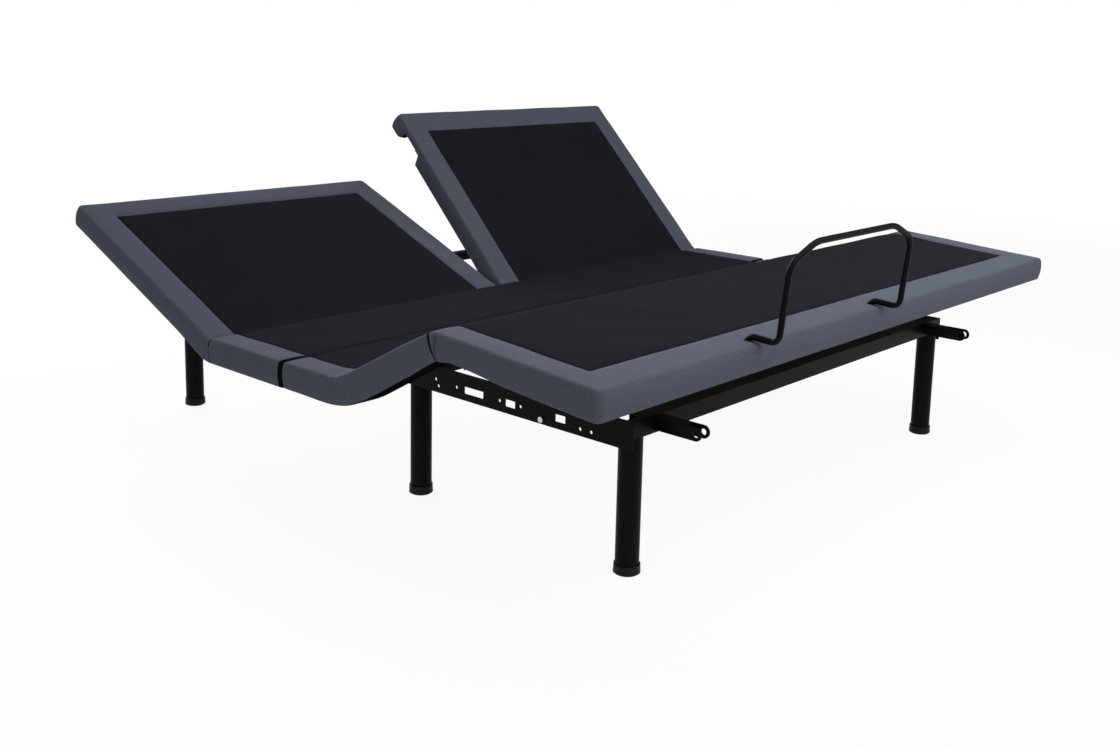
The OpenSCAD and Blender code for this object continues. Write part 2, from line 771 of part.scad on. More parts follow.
module rear_seat_cover() {
    seat_cover([joint_y + seat_end, back_hinge_y - fold_gap], true, true, back_hinge_y);
}
module front_seat_cover() { seat_cover([fold_gap, joint_y - seat_end], true, true, 0); }

control_size = [180, 120, 44];
power_size = [160, 70, 40];
electrics_y = 150;
module electrics_box(x, size) {
    r = 8;
    translate([x, electrics_y + size[1] / 2, rail_level - size[2]])
        linear_extrude(size[2]) rounded(size[0], size[1], r);
}
inlet = [26, 14, 18];
module control_box() {
    color(black_plastic) on_seat() difference() {
        electrics_box(-actuator_x / 2, control_size);
        for (dx = [-50, 0, 50])
            translate([-actuator_x / 2 + dx - inlet[0] / 2, electrics_y - 1,
                       rail_level - control_size[2] / 2 - inlet[2] / 2])
                cube([inlet[0], inlet[1] + 1, inlet[2]]);
    }
}
module power_supply() {
    color(black_plastic) on_seat() difference() {
        electrics_box(actuator_x / 2, power_size);
        translate([actuator_x / 2 - inlet[0] / 2, electrics_y - 1,
                   rail_level - power_size[2] / 2 - inlet[2] / 2])
            cube([inlet[0], inlet[1] + 1, inlet[2]]);
    }
}

// ---------- nodes: backs ----------

module back_lever() {
    color(steel) {
        lever_fork(actuator_x, back_half, 1);
        bored_lugs(beam_gap, 1, right_half);
    }
}
module left_back_lever() {
    on_back(left_back_angle) color(steel) {
        lever_fork(-actuator_x, back_half, 1);
        bored_lugs(beam_gap, 1, left_half);
    }
}
module left_side() { on_back(left_back_angle) mirror([1, 0, 0]) children(); }
module left_back_board() { left_side() back_board(); }
module left_back_battens() { left_side() back_battens(); }
module left_back_cover() { left_side() back_cover(); }
module left_back_side_tubes() { left_side() back_side_tubes(); }
module left_back_cross_tubes() { left_side() back_cross_tubes(); }
module right_back_lever() { on_back(right_back_angle) back_lever(); }
module right_back_board() { on_back(right_back_angle) back_board(); }
module right_back_battens() { on_back(right_back_angle) back_battens(); }
module right_back_cover() { on_back(right_back_angle) back_cover(); }
module right_back_side_tubes() { on_back(right_back_angle) back_side_tubes(); }
module right_back_cross_tubes() { on_back(right_back_angle) back_cross_tubes(); }

// ---------- nodes: thigh ----------

thigh_y = [-thigh_len + fold_gap, -fold_gap];
module thigh_board() {
    on_thigh() color(wood) difference() {
        box(seat_x, [-thigh_len + fold_gap + 8, -fold_gap], [board_low, board_high]);
        hinge_pockets(beam_gap, full_line);
        translate([0, -thigh_len, 0]) hinge_pockets(knee_beam_gap, full_line);
    }
}
module thigh_battens() {
    on_thigh() color(wood) both_sides()
        across(half_w - skirt_t - batten_t, batten_t)
            polygon(edge_outline(thigh_y[0] + 2, thigh_y[1], batten_low, board_low,
                                 knee_mitre, 0));
}
module thigh_cover() {
    on_thigh() color(fabric) difference() {
        union() {
            padding_top([-half_w, half_w], thigh_y, false, true);
            for (x = [-half_w, half_w - skirt_t])
                side_skirt(x, edge_outline(thigh_y[0], thigh_y[1], edge_low, board_high,
                                           knee_mitre, 0));
        }
        hinge_pockets(beam_gap, full_line);
        translate([0, -thigh_len, 0]) hinge_pockets(knee_beam_gap, full_line);
    }
}
module thigh_side_tubes() {
    on_thigh() color(steel) both_sides()
        tube_y([deck_tube_x, deck_tube_x + tube], [-thigh_len + knee_beam_gap, -beam_gap],
               [tube_low, board_low]);
}
module thigh_cross_tubes() {
    on_thigh() color(steel) for (y = [-beam_gap - tube, -thigh_len + knee_beam_gap])
        tube_x([-deck_tube_x, deck_tube_x], [y, y + tube], [tube_low, board_low]);
}
module thigh_lever() {
    on_thigh() color(steel) {
        lever_fork(0, thigh_half, -1);
        bored_lugs(beam_gap, -1, full_line);
        translate([0, -thigh_len, 0]) pinned_lugs(knee_beam_gap, 1, full_line);
    }
}

// ---------- nodes: foot section ----------

foot_y = [-foot_len, -fold_gap];
module foot_board() {
    on_foot() color(wood) difference() {
        box(seat_x, [-foot_len + skirt_t, -fold_gap - 8], [board_low, board_high]);
        hinge_pockets(knee_beam_gap, full_line);
        at_bar_ends() translate([0, 0, board_low - 1])
            cylinder(h = board_t + 2, r = bar_bolt_r + seam);
    }
}
module foot_battens() {
    on_foot() color(wood) {
        both_sides() across(half_w - skirt_t - batten_t, batten_t)
            polygon(edge_outline(-foot_len + skirt_t, foot_y[1] - 2, batten_low, board_low,
                                 0, knee_mitre));
        box([-half_w + skirt_t + batten_t + seam, half_w - skirt_t - batten_t - seam],
            [-foot_len + skirt_t, -foot_len + skirt_t + batten_t], [batten_low, board_low]);
    }
}
module foot_cover() {
    on_foot() color(fabric) difference() {
        union() {
            padding_top([-half_w, half_w], foot_y, false, false);
            for (x = [-half_w, half_w - skirt_t])
                side_skirt(x, edge_outline(foot_y[0], foot_y[1], edge_low, board_high,
                                           0, knee_mitre));
            box([-half_w, half_w], [-foot_len, -foot_len + skirt_t], [edge_low, board_high]);
        }
        hinge_pockets(knee_beam_gap, full_line);
        at_bar_ends() translate([0, 0, board_high - 1])
            linear_extrude(pivot_depth - board_high + 2) {
                circle(r = bar_hole_r);
                translate([-bar_hole_r, -bar_bend]) square([2 * bar_hole_r, bar_bend]);
            }
    }
}
module foot_side_tubes() {
    on_foot() color(steel) both_sides()
        tube_y([deck_tube_x, deck_tube_x + tube], [foot_tube_end, -knee_beam_gap],
               [tube_low, board_low]);
}
module foot_cross_tubes() {
    on_foot() color(steel) for (y = [-knee_beam_gap - tube, foot_tube_end])
        tube_x([-deck_tube_x, deck_tube_x], [y, y + tube], [tube_low, board_low]);
}
// Hinge plates at the knee, and plates with pins for the links under the cross tube
link_lug_r = 12;
module foot_lugs() {
    inner = deck_tube_x - plate_t;
    on_foot() color(steel) {
        bored_lugs(knee_beam_gap, -1, full_line);
        both_sides() {
            across(inner, plate_t) {
                translate([-link_reach, -link_drop]) circle(r = link_lug_r);
                translate([-link_reach - link_lug_r, -link_drop])
                    square([2 * link_lug_r, link_drop + tube_low]);
            }
            translate([0, -link_reach, -link_drop])
                rod_across(link_x - 2, inner - link_x + 3, link_pin_r);
        }
    }
}
// Flat bars from the rails to the foot section
link_base = [-link_base_y, -link_base_drop];
link_top = knee + turned([-link_reach, -link_drop], -foot_slope);
link_vec = link_top - link_base;
link_len = norm(link_vec);
link_angle = atan2(link_vec[1], -link_vec[0]);
module foot_links() {
    color(steel) on_seat() both_sides() translate([0, link_base[0], link_base[1]])
        rotate([-link_angle, 0, 0]) across(link_x, link_t) difference() {
            union() {
                circle(r = link_w / 2);
                translate([-link_len, 0]) circle(r = link_w / 2 + 2);
                translate([-link_len, -link_w / 2]) square([link_len, link_w]);
            }
            circle(r = link_pin_r + pin_play);
            translate([-link_len, 0]) circle(r = link_pin_r + link_play);
        }
}

// ---------- nodes: retainer bar ----------

// Path through the corners, with an arc of its own radius at each one between the ends
arc_steps = 6;
function unit(v) = v / norm(v);
function arc(a, b, c, r) =
    let (u = unit(a - b), w = unit(c - b), half = acos(u * w) / 2, sweep = 180 - 2 * half,
         centre = b + unit(u + w) * r / sin(half),
         from = b + u * r / tan(half) - centre, to = b + w * r / tan(half) - centre)
    [for (i = [0 : arc_steps]) let (s = sweep * i / arc_steps)
        centre + (from * sin(sweep - s) + to * sin(s)) / sin(sweep)];
function rounded_path(p, radii) = concat(
    [p[0]], [for (i = [1 : len(p) - 2]) each arc(p[i - 1], p[i], p[i + 1], radii[i - 1])],
    [p[len(p) - 1]]);

// Round bar of radius r along a path; away is a direction that the path never takes
module swept_bar(path, r, sides = 16, away = [1, 1, -1]) {
    last = len(path) - 1;
    function heading(i) = unit(path[min(i + 1, last)] - path[max(i - 1, 0)]);
    function ring(i) = let (t = heading(i), n = unit(cross(away, t)), m = cross(t, n))
        [for (k = [0 : sides - 1]) path[i] + r * (n * cos(360 * k / sides)
                                                  + m * sin(360 * k / sides))];
    function corner(i, k) = i * sides + k % sides;
    polyhedron([for (i = [0 : last]) each ring(i)], concat(
        [[for (k = [0 : sides - 1]) k]],
        [for (i = [0 : last - 1], k = [0 : sides - 1])
            [corner(i, k), corner(i + 1, k), corner(i + 1, k + 1), corner(i, k + 1)]],
        [[for (k = [sides - 1 : -1 : 0]) corner(last, k)]]));
}
bar_left = -bar_offset - bar_w / 2 + bar_r;
bar_right = -bar_offset + bar_w / 2 - bar_r;
// Point of the bar at height h above its feet, on its leaning plane
function bar_point(x, h) = [x, bar_y - h * tan(bar_lean), bar_level + h];
bar_tip_y = bar_y + bar_foot;
bar_bolt_r = 3;
bar_hole_r = bar_r + 1;
bar_corners = [
    [bar_left, bar_tip_y, board_high + seam], [bar_left, bar_tip_y, bar_level],
    bar_point(bar_left, 0),
    bar_point(bar_left, bar_rise - bar_slope_h), bar_point(bar_left + bar_slope_w, bar_rise),
    bar_point(bar_right - bar_slope_w, bar_rise), bar_point(bar_right, bar_rise - bar_slope_h),
    bar_point(bar_right, 0), [bar_right, bar_tip_y, bar_level],
    [bar_right, bar_tip_y, board_high + seam]
];
bar_radii = [bar_bend, bar_bend, bar_shoulder, bar_crown,
             bar_crown, bar_shoulder, bar_bend, bar_bend];
// The feet turn down through the padding and stand on the board
module retainer_bar() {
    color(steel) on_foot() difference() {
        swept_bar(rounded_path(bar_corners, bar_radii), bar_r);
        at_bar_ends() cylinder(h = 2 * bar_bolt_in, r = bar_bolt_r + pin_play, center = true);
    }
}
module at_bar_ends() {
    for (x = [bar_left, bar_right]) translate([x, bar_tip_y, 0]) children();
}
// Bolts through the board from below, into the ends of the bar
bar_bolt_in = 12;
module retainer_bolts() {
    head_h = 4;
    color(zinc) on_foot() at_bar_ends() {
        translate([0, 0, board_low - head_h]) cylinder(h = head_h, r = 6, $fn = 6);
        translate([0, 0, board_low - 1])
            cylinder(h = bar_bolt_in - seam - board_low + 1, r = bar_bolt_r);
    }
}

// ---------- build ----------

foot_rail_left();
foot_rail_right();
head_rail_left();
head_rail_right();
splice_plates();
frame_bolts();
foot_beam();
hip_beam();
back_hinge_beam();
head_beam();
legs();
leg_feet();
leg_plates();
leg_bolts();
footboard_arms();
hip_hinge_lugs();
back_hinge_lugs();
link_brackets();
actuator_brackets();
rear_seat_board();
front_seat_board();
seat_battens();
rear_seat_cover();
front_seat_cover();
control_box();
power_supply();
left_actuator();
right_actuator();
foot_actuator();
left_back_board();
left_back_battens();
left_back_cover();
left_back_side_tubes();
left_back_cross_tubes();
left_back_lever();
right_back_board();
right_back_battens();
right_back_cover();
right_back_side_tubes();
right_back_cross_tubes();
right_back_lever();
thigh_board();
thigh_battens();
thigh_cover();
thigh_side_tubes();
thigh_cross_tubes();
thigh_lever();
foot_board();
foot_battens();
foot_cover();
foot_side_tubes();
foot_cross_tubes();
foot_lugs();
retainer_bar();
retainer_bolts();
foot_links();
left_rod();
right_rod();
foot_rod();
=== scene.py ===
"""Adjustable bed base: upholstered covers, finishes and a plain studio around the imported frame."""

import json
import math

import bpy
import numpy as np
from bpy.props import FloatProperty, FloatVectorProperty, PointerProperty
from mathutils import Matrix, Vector
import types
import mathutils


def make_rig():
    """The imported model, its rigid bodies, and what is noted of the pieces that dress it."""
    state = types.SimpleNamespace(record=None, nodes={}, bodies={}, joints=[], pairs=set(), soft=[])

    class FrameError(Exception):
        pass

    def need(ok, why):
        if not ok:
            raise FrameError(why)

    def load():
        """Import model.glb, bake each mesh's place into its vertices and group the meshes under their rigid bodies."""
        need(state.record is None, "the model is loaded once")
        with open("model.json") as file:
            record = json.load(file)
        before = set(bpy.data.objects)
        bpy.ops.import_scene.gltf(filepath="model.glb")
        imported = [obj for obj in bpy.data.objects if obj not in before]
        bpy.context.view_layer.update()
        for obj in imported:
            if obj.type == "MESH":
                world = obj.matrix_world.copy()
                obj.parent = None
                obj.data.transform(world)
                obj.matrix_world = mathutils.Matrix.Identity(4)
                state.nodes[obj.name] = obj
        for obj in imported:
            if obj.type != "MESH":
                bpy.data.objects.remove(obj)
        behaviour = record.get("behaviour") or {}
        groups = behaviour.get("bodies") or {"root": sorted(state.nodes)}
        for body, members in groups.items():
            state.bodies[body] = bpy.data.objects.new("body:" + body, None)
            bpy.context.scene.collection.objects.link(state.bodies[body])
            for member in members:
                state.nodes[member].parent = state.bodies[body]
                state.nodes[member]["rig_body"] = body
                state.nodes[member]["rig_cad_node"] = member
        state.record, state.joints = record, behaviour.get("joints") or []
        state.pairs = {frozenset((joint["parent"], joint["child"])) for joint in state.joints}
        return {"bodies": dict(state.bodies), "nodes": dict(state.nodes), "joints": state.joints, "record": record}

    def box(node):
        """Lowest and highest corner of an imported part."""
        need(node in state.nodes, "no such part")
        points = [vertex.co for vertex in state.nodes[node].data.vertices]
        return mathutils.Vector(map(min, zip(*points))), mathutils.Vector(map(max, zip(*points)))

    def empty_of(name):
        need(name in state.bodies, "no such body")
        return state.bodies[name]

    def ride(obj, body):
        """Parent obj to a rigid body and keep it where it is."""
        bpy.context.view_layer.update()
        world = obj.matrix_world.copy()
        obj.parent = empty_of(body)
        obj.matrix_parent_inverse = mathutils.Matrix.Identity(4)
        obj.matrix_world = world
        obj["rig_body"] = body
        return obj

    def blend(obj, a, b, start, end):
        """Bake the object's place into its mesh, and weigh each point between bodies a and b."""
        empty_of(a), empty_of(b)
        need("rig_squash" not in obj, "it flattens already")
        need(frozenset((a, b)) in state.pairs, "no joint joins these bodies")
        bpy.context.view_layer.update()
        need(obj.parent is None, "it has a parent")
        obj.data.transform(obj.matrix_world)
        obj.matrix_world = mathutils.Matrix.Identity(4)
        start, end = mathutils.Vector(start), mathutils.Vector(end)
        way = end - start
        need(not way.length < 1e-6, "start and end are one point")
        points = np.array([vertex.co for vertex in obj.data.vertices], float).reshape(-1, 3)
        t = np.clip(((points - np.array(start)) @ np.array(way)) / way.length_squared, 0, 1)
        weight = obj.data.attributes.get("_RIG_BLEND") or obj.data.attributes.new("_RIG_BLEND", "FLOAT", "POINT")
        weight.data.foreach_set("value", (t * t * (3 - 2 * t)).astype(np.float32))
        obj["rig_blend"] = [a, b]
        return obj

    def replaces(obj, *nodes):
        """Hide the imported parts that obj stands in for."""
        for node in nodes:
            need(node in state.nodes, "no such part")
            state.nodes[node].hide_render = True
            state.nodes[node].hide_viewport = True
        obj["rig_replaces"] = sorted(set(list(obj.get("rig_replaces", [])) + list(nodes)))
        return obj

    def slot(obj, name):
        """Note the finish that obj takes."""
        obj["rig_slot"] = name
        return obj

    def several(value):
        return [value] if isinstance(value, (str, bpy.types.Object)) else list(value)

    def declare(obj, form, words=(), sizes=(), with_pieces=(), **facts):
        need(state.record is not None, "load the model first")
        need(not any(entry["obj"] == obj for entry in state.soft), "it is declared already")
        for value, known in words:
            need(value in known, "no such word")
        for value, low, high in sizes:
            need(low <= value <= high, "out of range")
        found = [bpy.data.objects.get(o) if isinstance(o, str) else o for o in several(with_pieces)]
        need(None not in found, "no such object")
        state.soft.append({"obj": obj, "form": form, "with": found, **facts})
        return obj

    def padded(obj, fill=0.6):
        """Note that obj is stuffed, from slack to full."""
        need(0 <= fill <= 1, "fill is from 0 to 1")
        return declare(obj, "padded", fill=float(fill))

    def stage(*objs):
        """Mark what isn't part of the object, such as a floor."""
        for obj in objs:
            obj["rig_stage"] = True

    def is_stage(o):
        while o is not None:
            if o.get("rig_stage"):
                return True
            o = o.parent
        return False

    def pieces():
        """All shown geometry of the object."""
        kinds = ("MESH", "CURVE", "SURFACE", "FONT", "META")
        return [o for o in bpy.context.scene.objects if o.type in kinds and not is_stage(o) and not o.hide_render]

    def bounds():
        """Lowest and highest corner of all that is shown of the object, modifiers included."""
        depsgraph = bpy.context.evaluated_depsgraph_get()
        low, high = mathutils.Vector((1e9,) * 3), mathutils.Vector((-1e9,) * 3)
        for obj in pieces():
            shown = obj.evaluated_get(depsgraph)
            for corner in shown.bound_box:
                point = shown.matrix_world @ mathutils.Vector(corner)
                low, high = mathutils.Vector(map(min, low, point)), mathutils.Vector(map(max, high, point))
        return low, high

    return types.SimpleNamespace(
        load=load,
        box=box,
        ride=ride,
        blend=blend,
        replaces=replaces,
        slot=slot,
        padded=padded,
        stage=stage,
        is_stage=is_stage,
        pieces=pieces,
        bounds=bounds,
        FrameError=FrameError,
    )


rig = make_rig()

bl_info = {
    "name": "Adjustable Bed Base",
    "version": (1, 0, 0),
    "blender": (4, 5, 0),
    "location": "View3D > Sidebar > Bed Base",
    "description": "Covers, finishes and studio for a split adjustable bed base",
    "category": "Object",
}

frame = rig.load()
CAD_BOX = [list(corner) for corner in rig.bounds()]
JOINTS = {joint["name"]: joint for joint in frame["joints"]}

# ---------- places that come from the frame ----------


def hinge_line(name):
    """Y and Z of a hinge line."""
    return np.array(JOINTS[name]["pos_m"][1:])


def rest_angle(name):
    """Angle that a section stands at, which is how far its hinge can turn back to flat."""
    return math.radians(-JOINTS[name]["range_deg"][0])


HIP = hinge_line("thigh_hinge")
BACK_LINE = hinge_line("left_back_hinge")
KNEE = hinge_line("knee_hinge")
THIGH_SLOPE = rest_angle("thigh_hinge")
KNEE_TURN = rest_angle("knee_hinge")
LEFT_SLOPE = rest_angle("left_back_hinge")
RIGHT_SLOPE = rest_angle("right_back_hinge")
FOOT_SLOPE = THIGH_SLOPE - KNEE_TURN
DECK_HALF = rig.box("rear_seat_cover")[1].x
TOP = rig.box("rear_seat_cover")[1].z - BACK_LINE[1]
EDGE_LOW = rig.box("rear_seat_cover")[0].z - BACK_LINE[1]
# Distance from the hip to the joint between the rear seat and the front seat
SEAT_JOINT = (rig.box("rear_seat_cover")[0].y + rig.box("front_seat_cover")[1].y) / 2 - HIP[0]
# Half of the slit between the rear seat and the front seat, whose padding presses together
SEAT_SLIT = 0.0003
BOARD_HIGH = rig.box("rear_seat_board")[1].z - BACK_LINE[1]
BACK_LENGTH = (
    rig.box("right_back_cover")[1].z - BACK_LINE[1] - TOP * math.cos(RIGHT_SLOPE)
) / math.sin(RIGHT_SLOPE)
SPLIT_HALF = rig.box("right_back_cover")[0].x
FOOT_LENGTH = (
    KNEE[0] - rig.box("foot_cover")[0].y + TOP * math.sin(FOOT_SLOPE)
) / math.cos(FOOT_SLOPE)
THIGH_LENGTH = float(np.linalg.norm(KNEE - HIP))
# A back or foot cover starts this far before its hinge and bends over twice that length
FOLD = 0.012
# Room between a cover and the line where the next one starts
COVER_GAP = 0.001


# ---------- sizes and colours that a user may change ----------


def length_setting(name, description, default, low, high):
    """A size in metres."""
    return FloatProperty(
        name=name,
        description=description,
        default=default,
        min=low,
        max=high,
        subtype="DISTANCE",
        unit="LENGTH",
    )


def colour_setting(name, description, default):
    """A linear colour."""
    return FloatVectorProperty(
        name=name,
        description=description,
        default=default,
        subtype="COLOR",
        min=0.0,
        max=1.0,
    )


def power_setting(name, description, default):
    """The power of a lamp in watts."""
    return FloatProperty(
        name=name,
        description=description,
        default=default,
        min=0.0,
        max=1000.0,
        unit="POWER",
    )


class BedCoverSettings(bpy.types.PropertyGroup):
    """Sizes of the sewn covers."""

    outer_border: length_setting(
        "Outer border", "Width of the woven border on the outer sides and ends", 0.078, 0.04, 0.12
    )
    foot_border: length_setting(
        "Foot border", "Width of the woven border along the foot end", 0.094, 0.04, 0.14
    )
    split_border: length_setting(
        "Split border",
        "Width of the woven border along the split between the backs",
        0.080,
        0.04,
        0.12,
    )
    edge_radius: length_setting(
        "Edge radius", "Radius of the padded top edges", 0.0085, 0.004, 0.02
    )
    corner_radius: length_setting(
        "Corner radius", "Radius of the outer corners seen from above", 0.014, 0.008, 0.06
    )
    skirt_thickness: length_setting(
        "Skirt thickness", "Thickness of the padded side skirts", 0.0076, 0.004, 0.01
    )
    skirt_bulge: length_setting(
        "Skirt bulge", "How far the padding pushes the side skirts out", 0.003, 0.0, 0.006
    )
    seam_depth: length_setting(
        "Seam depth", "Depth of the seam between border and deck fabric", 0.0035, 0.001, 0.006
    )


class BedColourSettings(bpy.types.PropertyGroup):
    """Colours of the finishes."""

    border: colour_setting(
        "Border fabric", "Mean colour of the heathered border fabric", (0.0765, 0.0852, 0.108)
    )
    deck: colour_setting(
        "Deck fabric", "Colour of the black non-slip deck fabric", (0.0122, 0.0128, 0.0165)
    )
    steel: colour_setting(
        "Powder coat", "Colour of the black powder coat", (0.0030, 0.0030, 0.0036)
    )
    zinc: colour_setting(
        "Zinc plate", "Colour of the zinc-plated fasteners", (0.62, 0.63, 0.66)
    )
    wood: colour_setting(
        "Plywood", "Colour of the raw plywood", (0.42, 0.29, 0.17)
    )
    plastic: colour_setting(
        "Black plastic", "Colour of the moulded housings and feet", (0.0045, 0.0045, 0.0052)
    )


class BedStudioSettings(bpy.types.PropertyGroup):
    """Strengths of the studio light."""

    key_power: power_setting(
        "Overhead light", "Power of the large overhead softbox", 75.0
    )
    head_power: power_setting(
        "Head light", "Power of the wide softbox behind the head end", 330.0
    )
    fill_power: power_setting(
        "Front light", "Power of the soft light in front of the foot end", 18.0
    )
    side_power: power_setting(
        "Side light", "Power of the soft light beside the left rail", 34.0
    )
    ambient: FloatProperty(
        name="Room light",
        description="Strength of the even light from all round",
        default=0.06,
        min=0.0,
        max=2.0,
    )


# ---------- meshes from grids ----------


def rolling_noise(*coords, pitch=0.1, seed=0):
    """Smooth value in about -1..1: a sum of six sine waves that cross at fixed odd angles."""
    waves, largest = 6, 3.2
    total = 0.0
    for k in range(waves):
        wave = sum(
            c * math.cos(1.7 * k + 2.3 * i + 0.61 * seed) for i, c in enumerate(coords)
        )
        total = total + np.sin(
            wave * 2 * math.pi / pitch * (0.7 + 0.13 * k) + 1.9 * k + seed
        )
    return total / largest


class Surfaces:
    """Grids of points, each with a UV in metres and a material index, welded to one mesh."""

    def __init__(self):
        self.points, self.uvs, self.faces, self.materials = [], [], [], []
        self.count = 0

    def grid(self, points, uv, material):
        """Quads between neighbours of a (rows, columns, 3) grid."""
        rows, cols = points.shape[:2]
        index = self.count + np.arange(rows * cols).reshape(rows, cols)
        self.points.append(points.reshape(-1, 3))
        self.uvs.append(uv.reshape(-1, 2))
        self.faces.append(
            np.stack(
                [index[:-1, :-1], index[1:, :-1], index[1:, 1:], index[:-1, 1:]], -1
            ).reshape(-1, 4)
        )
        self.materials.append(np.full(len(self.faces[-1]), material))
        self.count += rows * cols

    def make(self, name, materials):
        """Welds equal points, drops faces that collapsed and turns the whole shell outwards."""
        points = np.concatenate(self.points)
        uvs = np.concatenate(self.uvs)
        quads = np.concatenate(self.faces)
        slots = np.concatenate(self.materials)
        points_per_metre = 2e5
        _, first, same = np.unique(
            np.round(points * points_per_metre).astype(np.int64),
            axis=0,
            return_index=True,
            return_inverse=True,
        )
        same = same.reshape(-1)
        corners = same[quads]
        welded = points[first]
        diag = np.cross(
            welded[corners[:, 2]] - welded[corners[:, 0]],
            welded[corners[:, 3]] - welded[corners[:, 1]],
        )
        centre = welded[corners].mean(1)
        if (diag * (centre - welded.mean(0))).sum() < 0:
            quads, corners = quads[:, ::-1], corners[:, ::-1]
        keep = corners != np.roll(corners, 1, axis=1)
        sides = keep.sum(1)
        good = sides >= 3
        loops = corners[good][keep[good]]
        loop_uv = uvs[quads[good][keep[good]]]
        totals = sides[good]
        starts = np.concatenate([[0], np.cumsum(totals)[:-1]])
        mesh = bpy.data.meshes.new(name)
        mesh.vertices.add(len(welded))
        mesh.vertices.foreach_set("co", welded.astype(np.float32).ravel())
        mesh.loops.add(len(loops))
        mesh.loops.foreach_set("vertex_index", loops.astype(np.int32))
        mesh.polygons.add(len(totals))
        mesh.polygons.foreach_set("loop_start", starts.astype(np.int32))
        mesh.polygons.foreach_set("loop_total", totals.astype(np.int32))
        for material in materials:
            mesh.materials.append(material)
        mesh.polygons.foreach_set("material_index", slots[good].astype(np.int32))
        mesh.polygons.foreach_set("use_smooth", np.ones(len(totals), bool))
        mesh.uv_layers.new(name="UVMap")
        mesh.uv_layers[0].data.foreach_set("uv", loop_uv.astype(np.float32).ravel())
        mesh.update(calc_edges=True)
        mesh.validate()
        piece = bpy.data.objects.new(name, mesh)
        bpy.context.scene.collection.objects.link(piece)
        return piece


def steps(a, b, size):
    """Even values from a to b, about size apart."""
    return np.linspace(a, b, max(2, int(round(abs(b - a) / size)) + 1))


def joined(*parts):
    """Rising values from several runs, without repeats."""
    return np.unique(np.round(np.concatenate(parts), 6))


# Distances from a seam at which the fabric gets points
SEAM_STEPS = np.array([0.0, 0.0006, 0.0015, 0.003, 0.005, 0.008, 0.013, 0.02])


def between_seams(a, b, size):
    """Values from a to b that crowd together at both ends, where the fabric dips into seams."""
    near = SEAM_STEPS[SEAM_STEPS < (b - a) / 3]
    return joined(a + near, steps(a + near[-1], b - near[-1], size), b - near)


def seam_dip(distance, depth):
    """How far fabric sinks at a distance from a seam: an exponential that starts at depth."""
    reach = 0.0035
    return depth * np.exp(-distance / reach)


def quarter(count):
    """Even angles from 0 to a quarter turn."""
    return np.linspace(0, math.pi / 2, count)


def running(lengths):
    """Distance from the first point, from the lengths between neighbours on the last axis."""
    total = np.cumsum(lengths, -1)
    return np.concatenate([np.zeros_like(total[..., :1]), total], -1)


# ---------- covers ----------

# Indices of a cover's materials
BORDER, DECK, LINING = 0, 1, 2
# How round an open end is, unless its cover says otherwise
PUFF_RADIUS = 0.010
# Share of that rounding that the panel keeps between its borders, and the radius below which
# it keeps none
PANEL_ROUND = 0.35
SHARP_ROUND = 0.005
# How far the panel and the sides of a border lie below the padding's highest line
CROWN = 0.0008
# Height of a hem's inner edge above its lowest point
LIP = 0.0072
# How much lower the hems hang at the seat
SEAT_SAG = 0.005
# Depth from which a skirt bulges fully
FULL_SKIRT = 0.045
# Room between a cover's underside and the board
BOARD_GAP = 0.0003
# Distances between rows, between columns and between points round an end skirt
ROW_STEP, COLUMN_STEP, SKIRT_STEP = 0.012, 0.014, 0.008
# Rows that lie closer than this are dropped
CLOSEST_ROWS = 2e-4
# How many columns before a hem's lowest point its lining starts, so the hem's lower curve shows dark: partly the dark
# lining and partly painted shade under the skirt
HEM_LINING_AND_SHADE = 3


def smooth(share):
    """Rises from 0 to 1 with a level start and end."""
    share = np.clip(share, 0, 1)
    return share * share * (3 - 2 * share)


def folded(s, n, half, before, after):
    """Distance and height on a strip that bends from one slope to another about s = 0."""
    turn = after - before
    radius = half / math.tan(turn / 2)
    slope = before + turn * np.clip((s + half) / (2 * half), 0, 1)
    short = np.minimum(s + half, 0) - half
    beyond = np.maximum(s - half, 0)
    along = short * math.cos(before) + beyond * math.cos(after)
    along = along + radius * (np.sin(slope) - math.sin(before)) - n * np.sin(slope)
    level = short * math.sin(before) + beyond * math.sin(after)
    level = level + radius * (math.cos(before) - np.cos(slope)) + n * np.cos(slope)
    return along, level


def folded_from(origin, towards, before, after):
    """Places the points of a cover that starts just before a hinge line and bends over it."""

    def place(x, s, n):
        along, level = folded(s, n, FOLD, before, after)
        return np.stack([x, origin[0] + towards * along, origin[1] + level], -1)

    return place


def fold_ends(origin, towards, before, after):
    """Points where such a bend starts and ends."""
    return [
        (
            0.0,
            origin[0] + towards * side * FOLD * math.cos(slope),
            origin[1] + side * FOLD * math.sin(slope),
        )
        for side, slope in ((-1, before), (1, after))
    ]


def pushed_in(x, depth):
    """X moved inwards by a depth on the outer faces of the skirts, and unchanged elsewhere."""
    outer = smooth((np.abs(x) - DECK_HALF + 0.004) / 0.003)
    return x - np.sign(x) * depth * outer


def end_run(start, radius):
    """Distances that follow a rounded end of that radius."""
    return start + radius * (1 - np.cos(quarter(8)))


def round_drop(distance, radius):
    """How much lower a quarter-round end is at a distance from its tip."""
    inside = np.clip(1 - distance / radius, 0, 1)
    return radius * (1 - np.sqrt(1 - inside * inside))


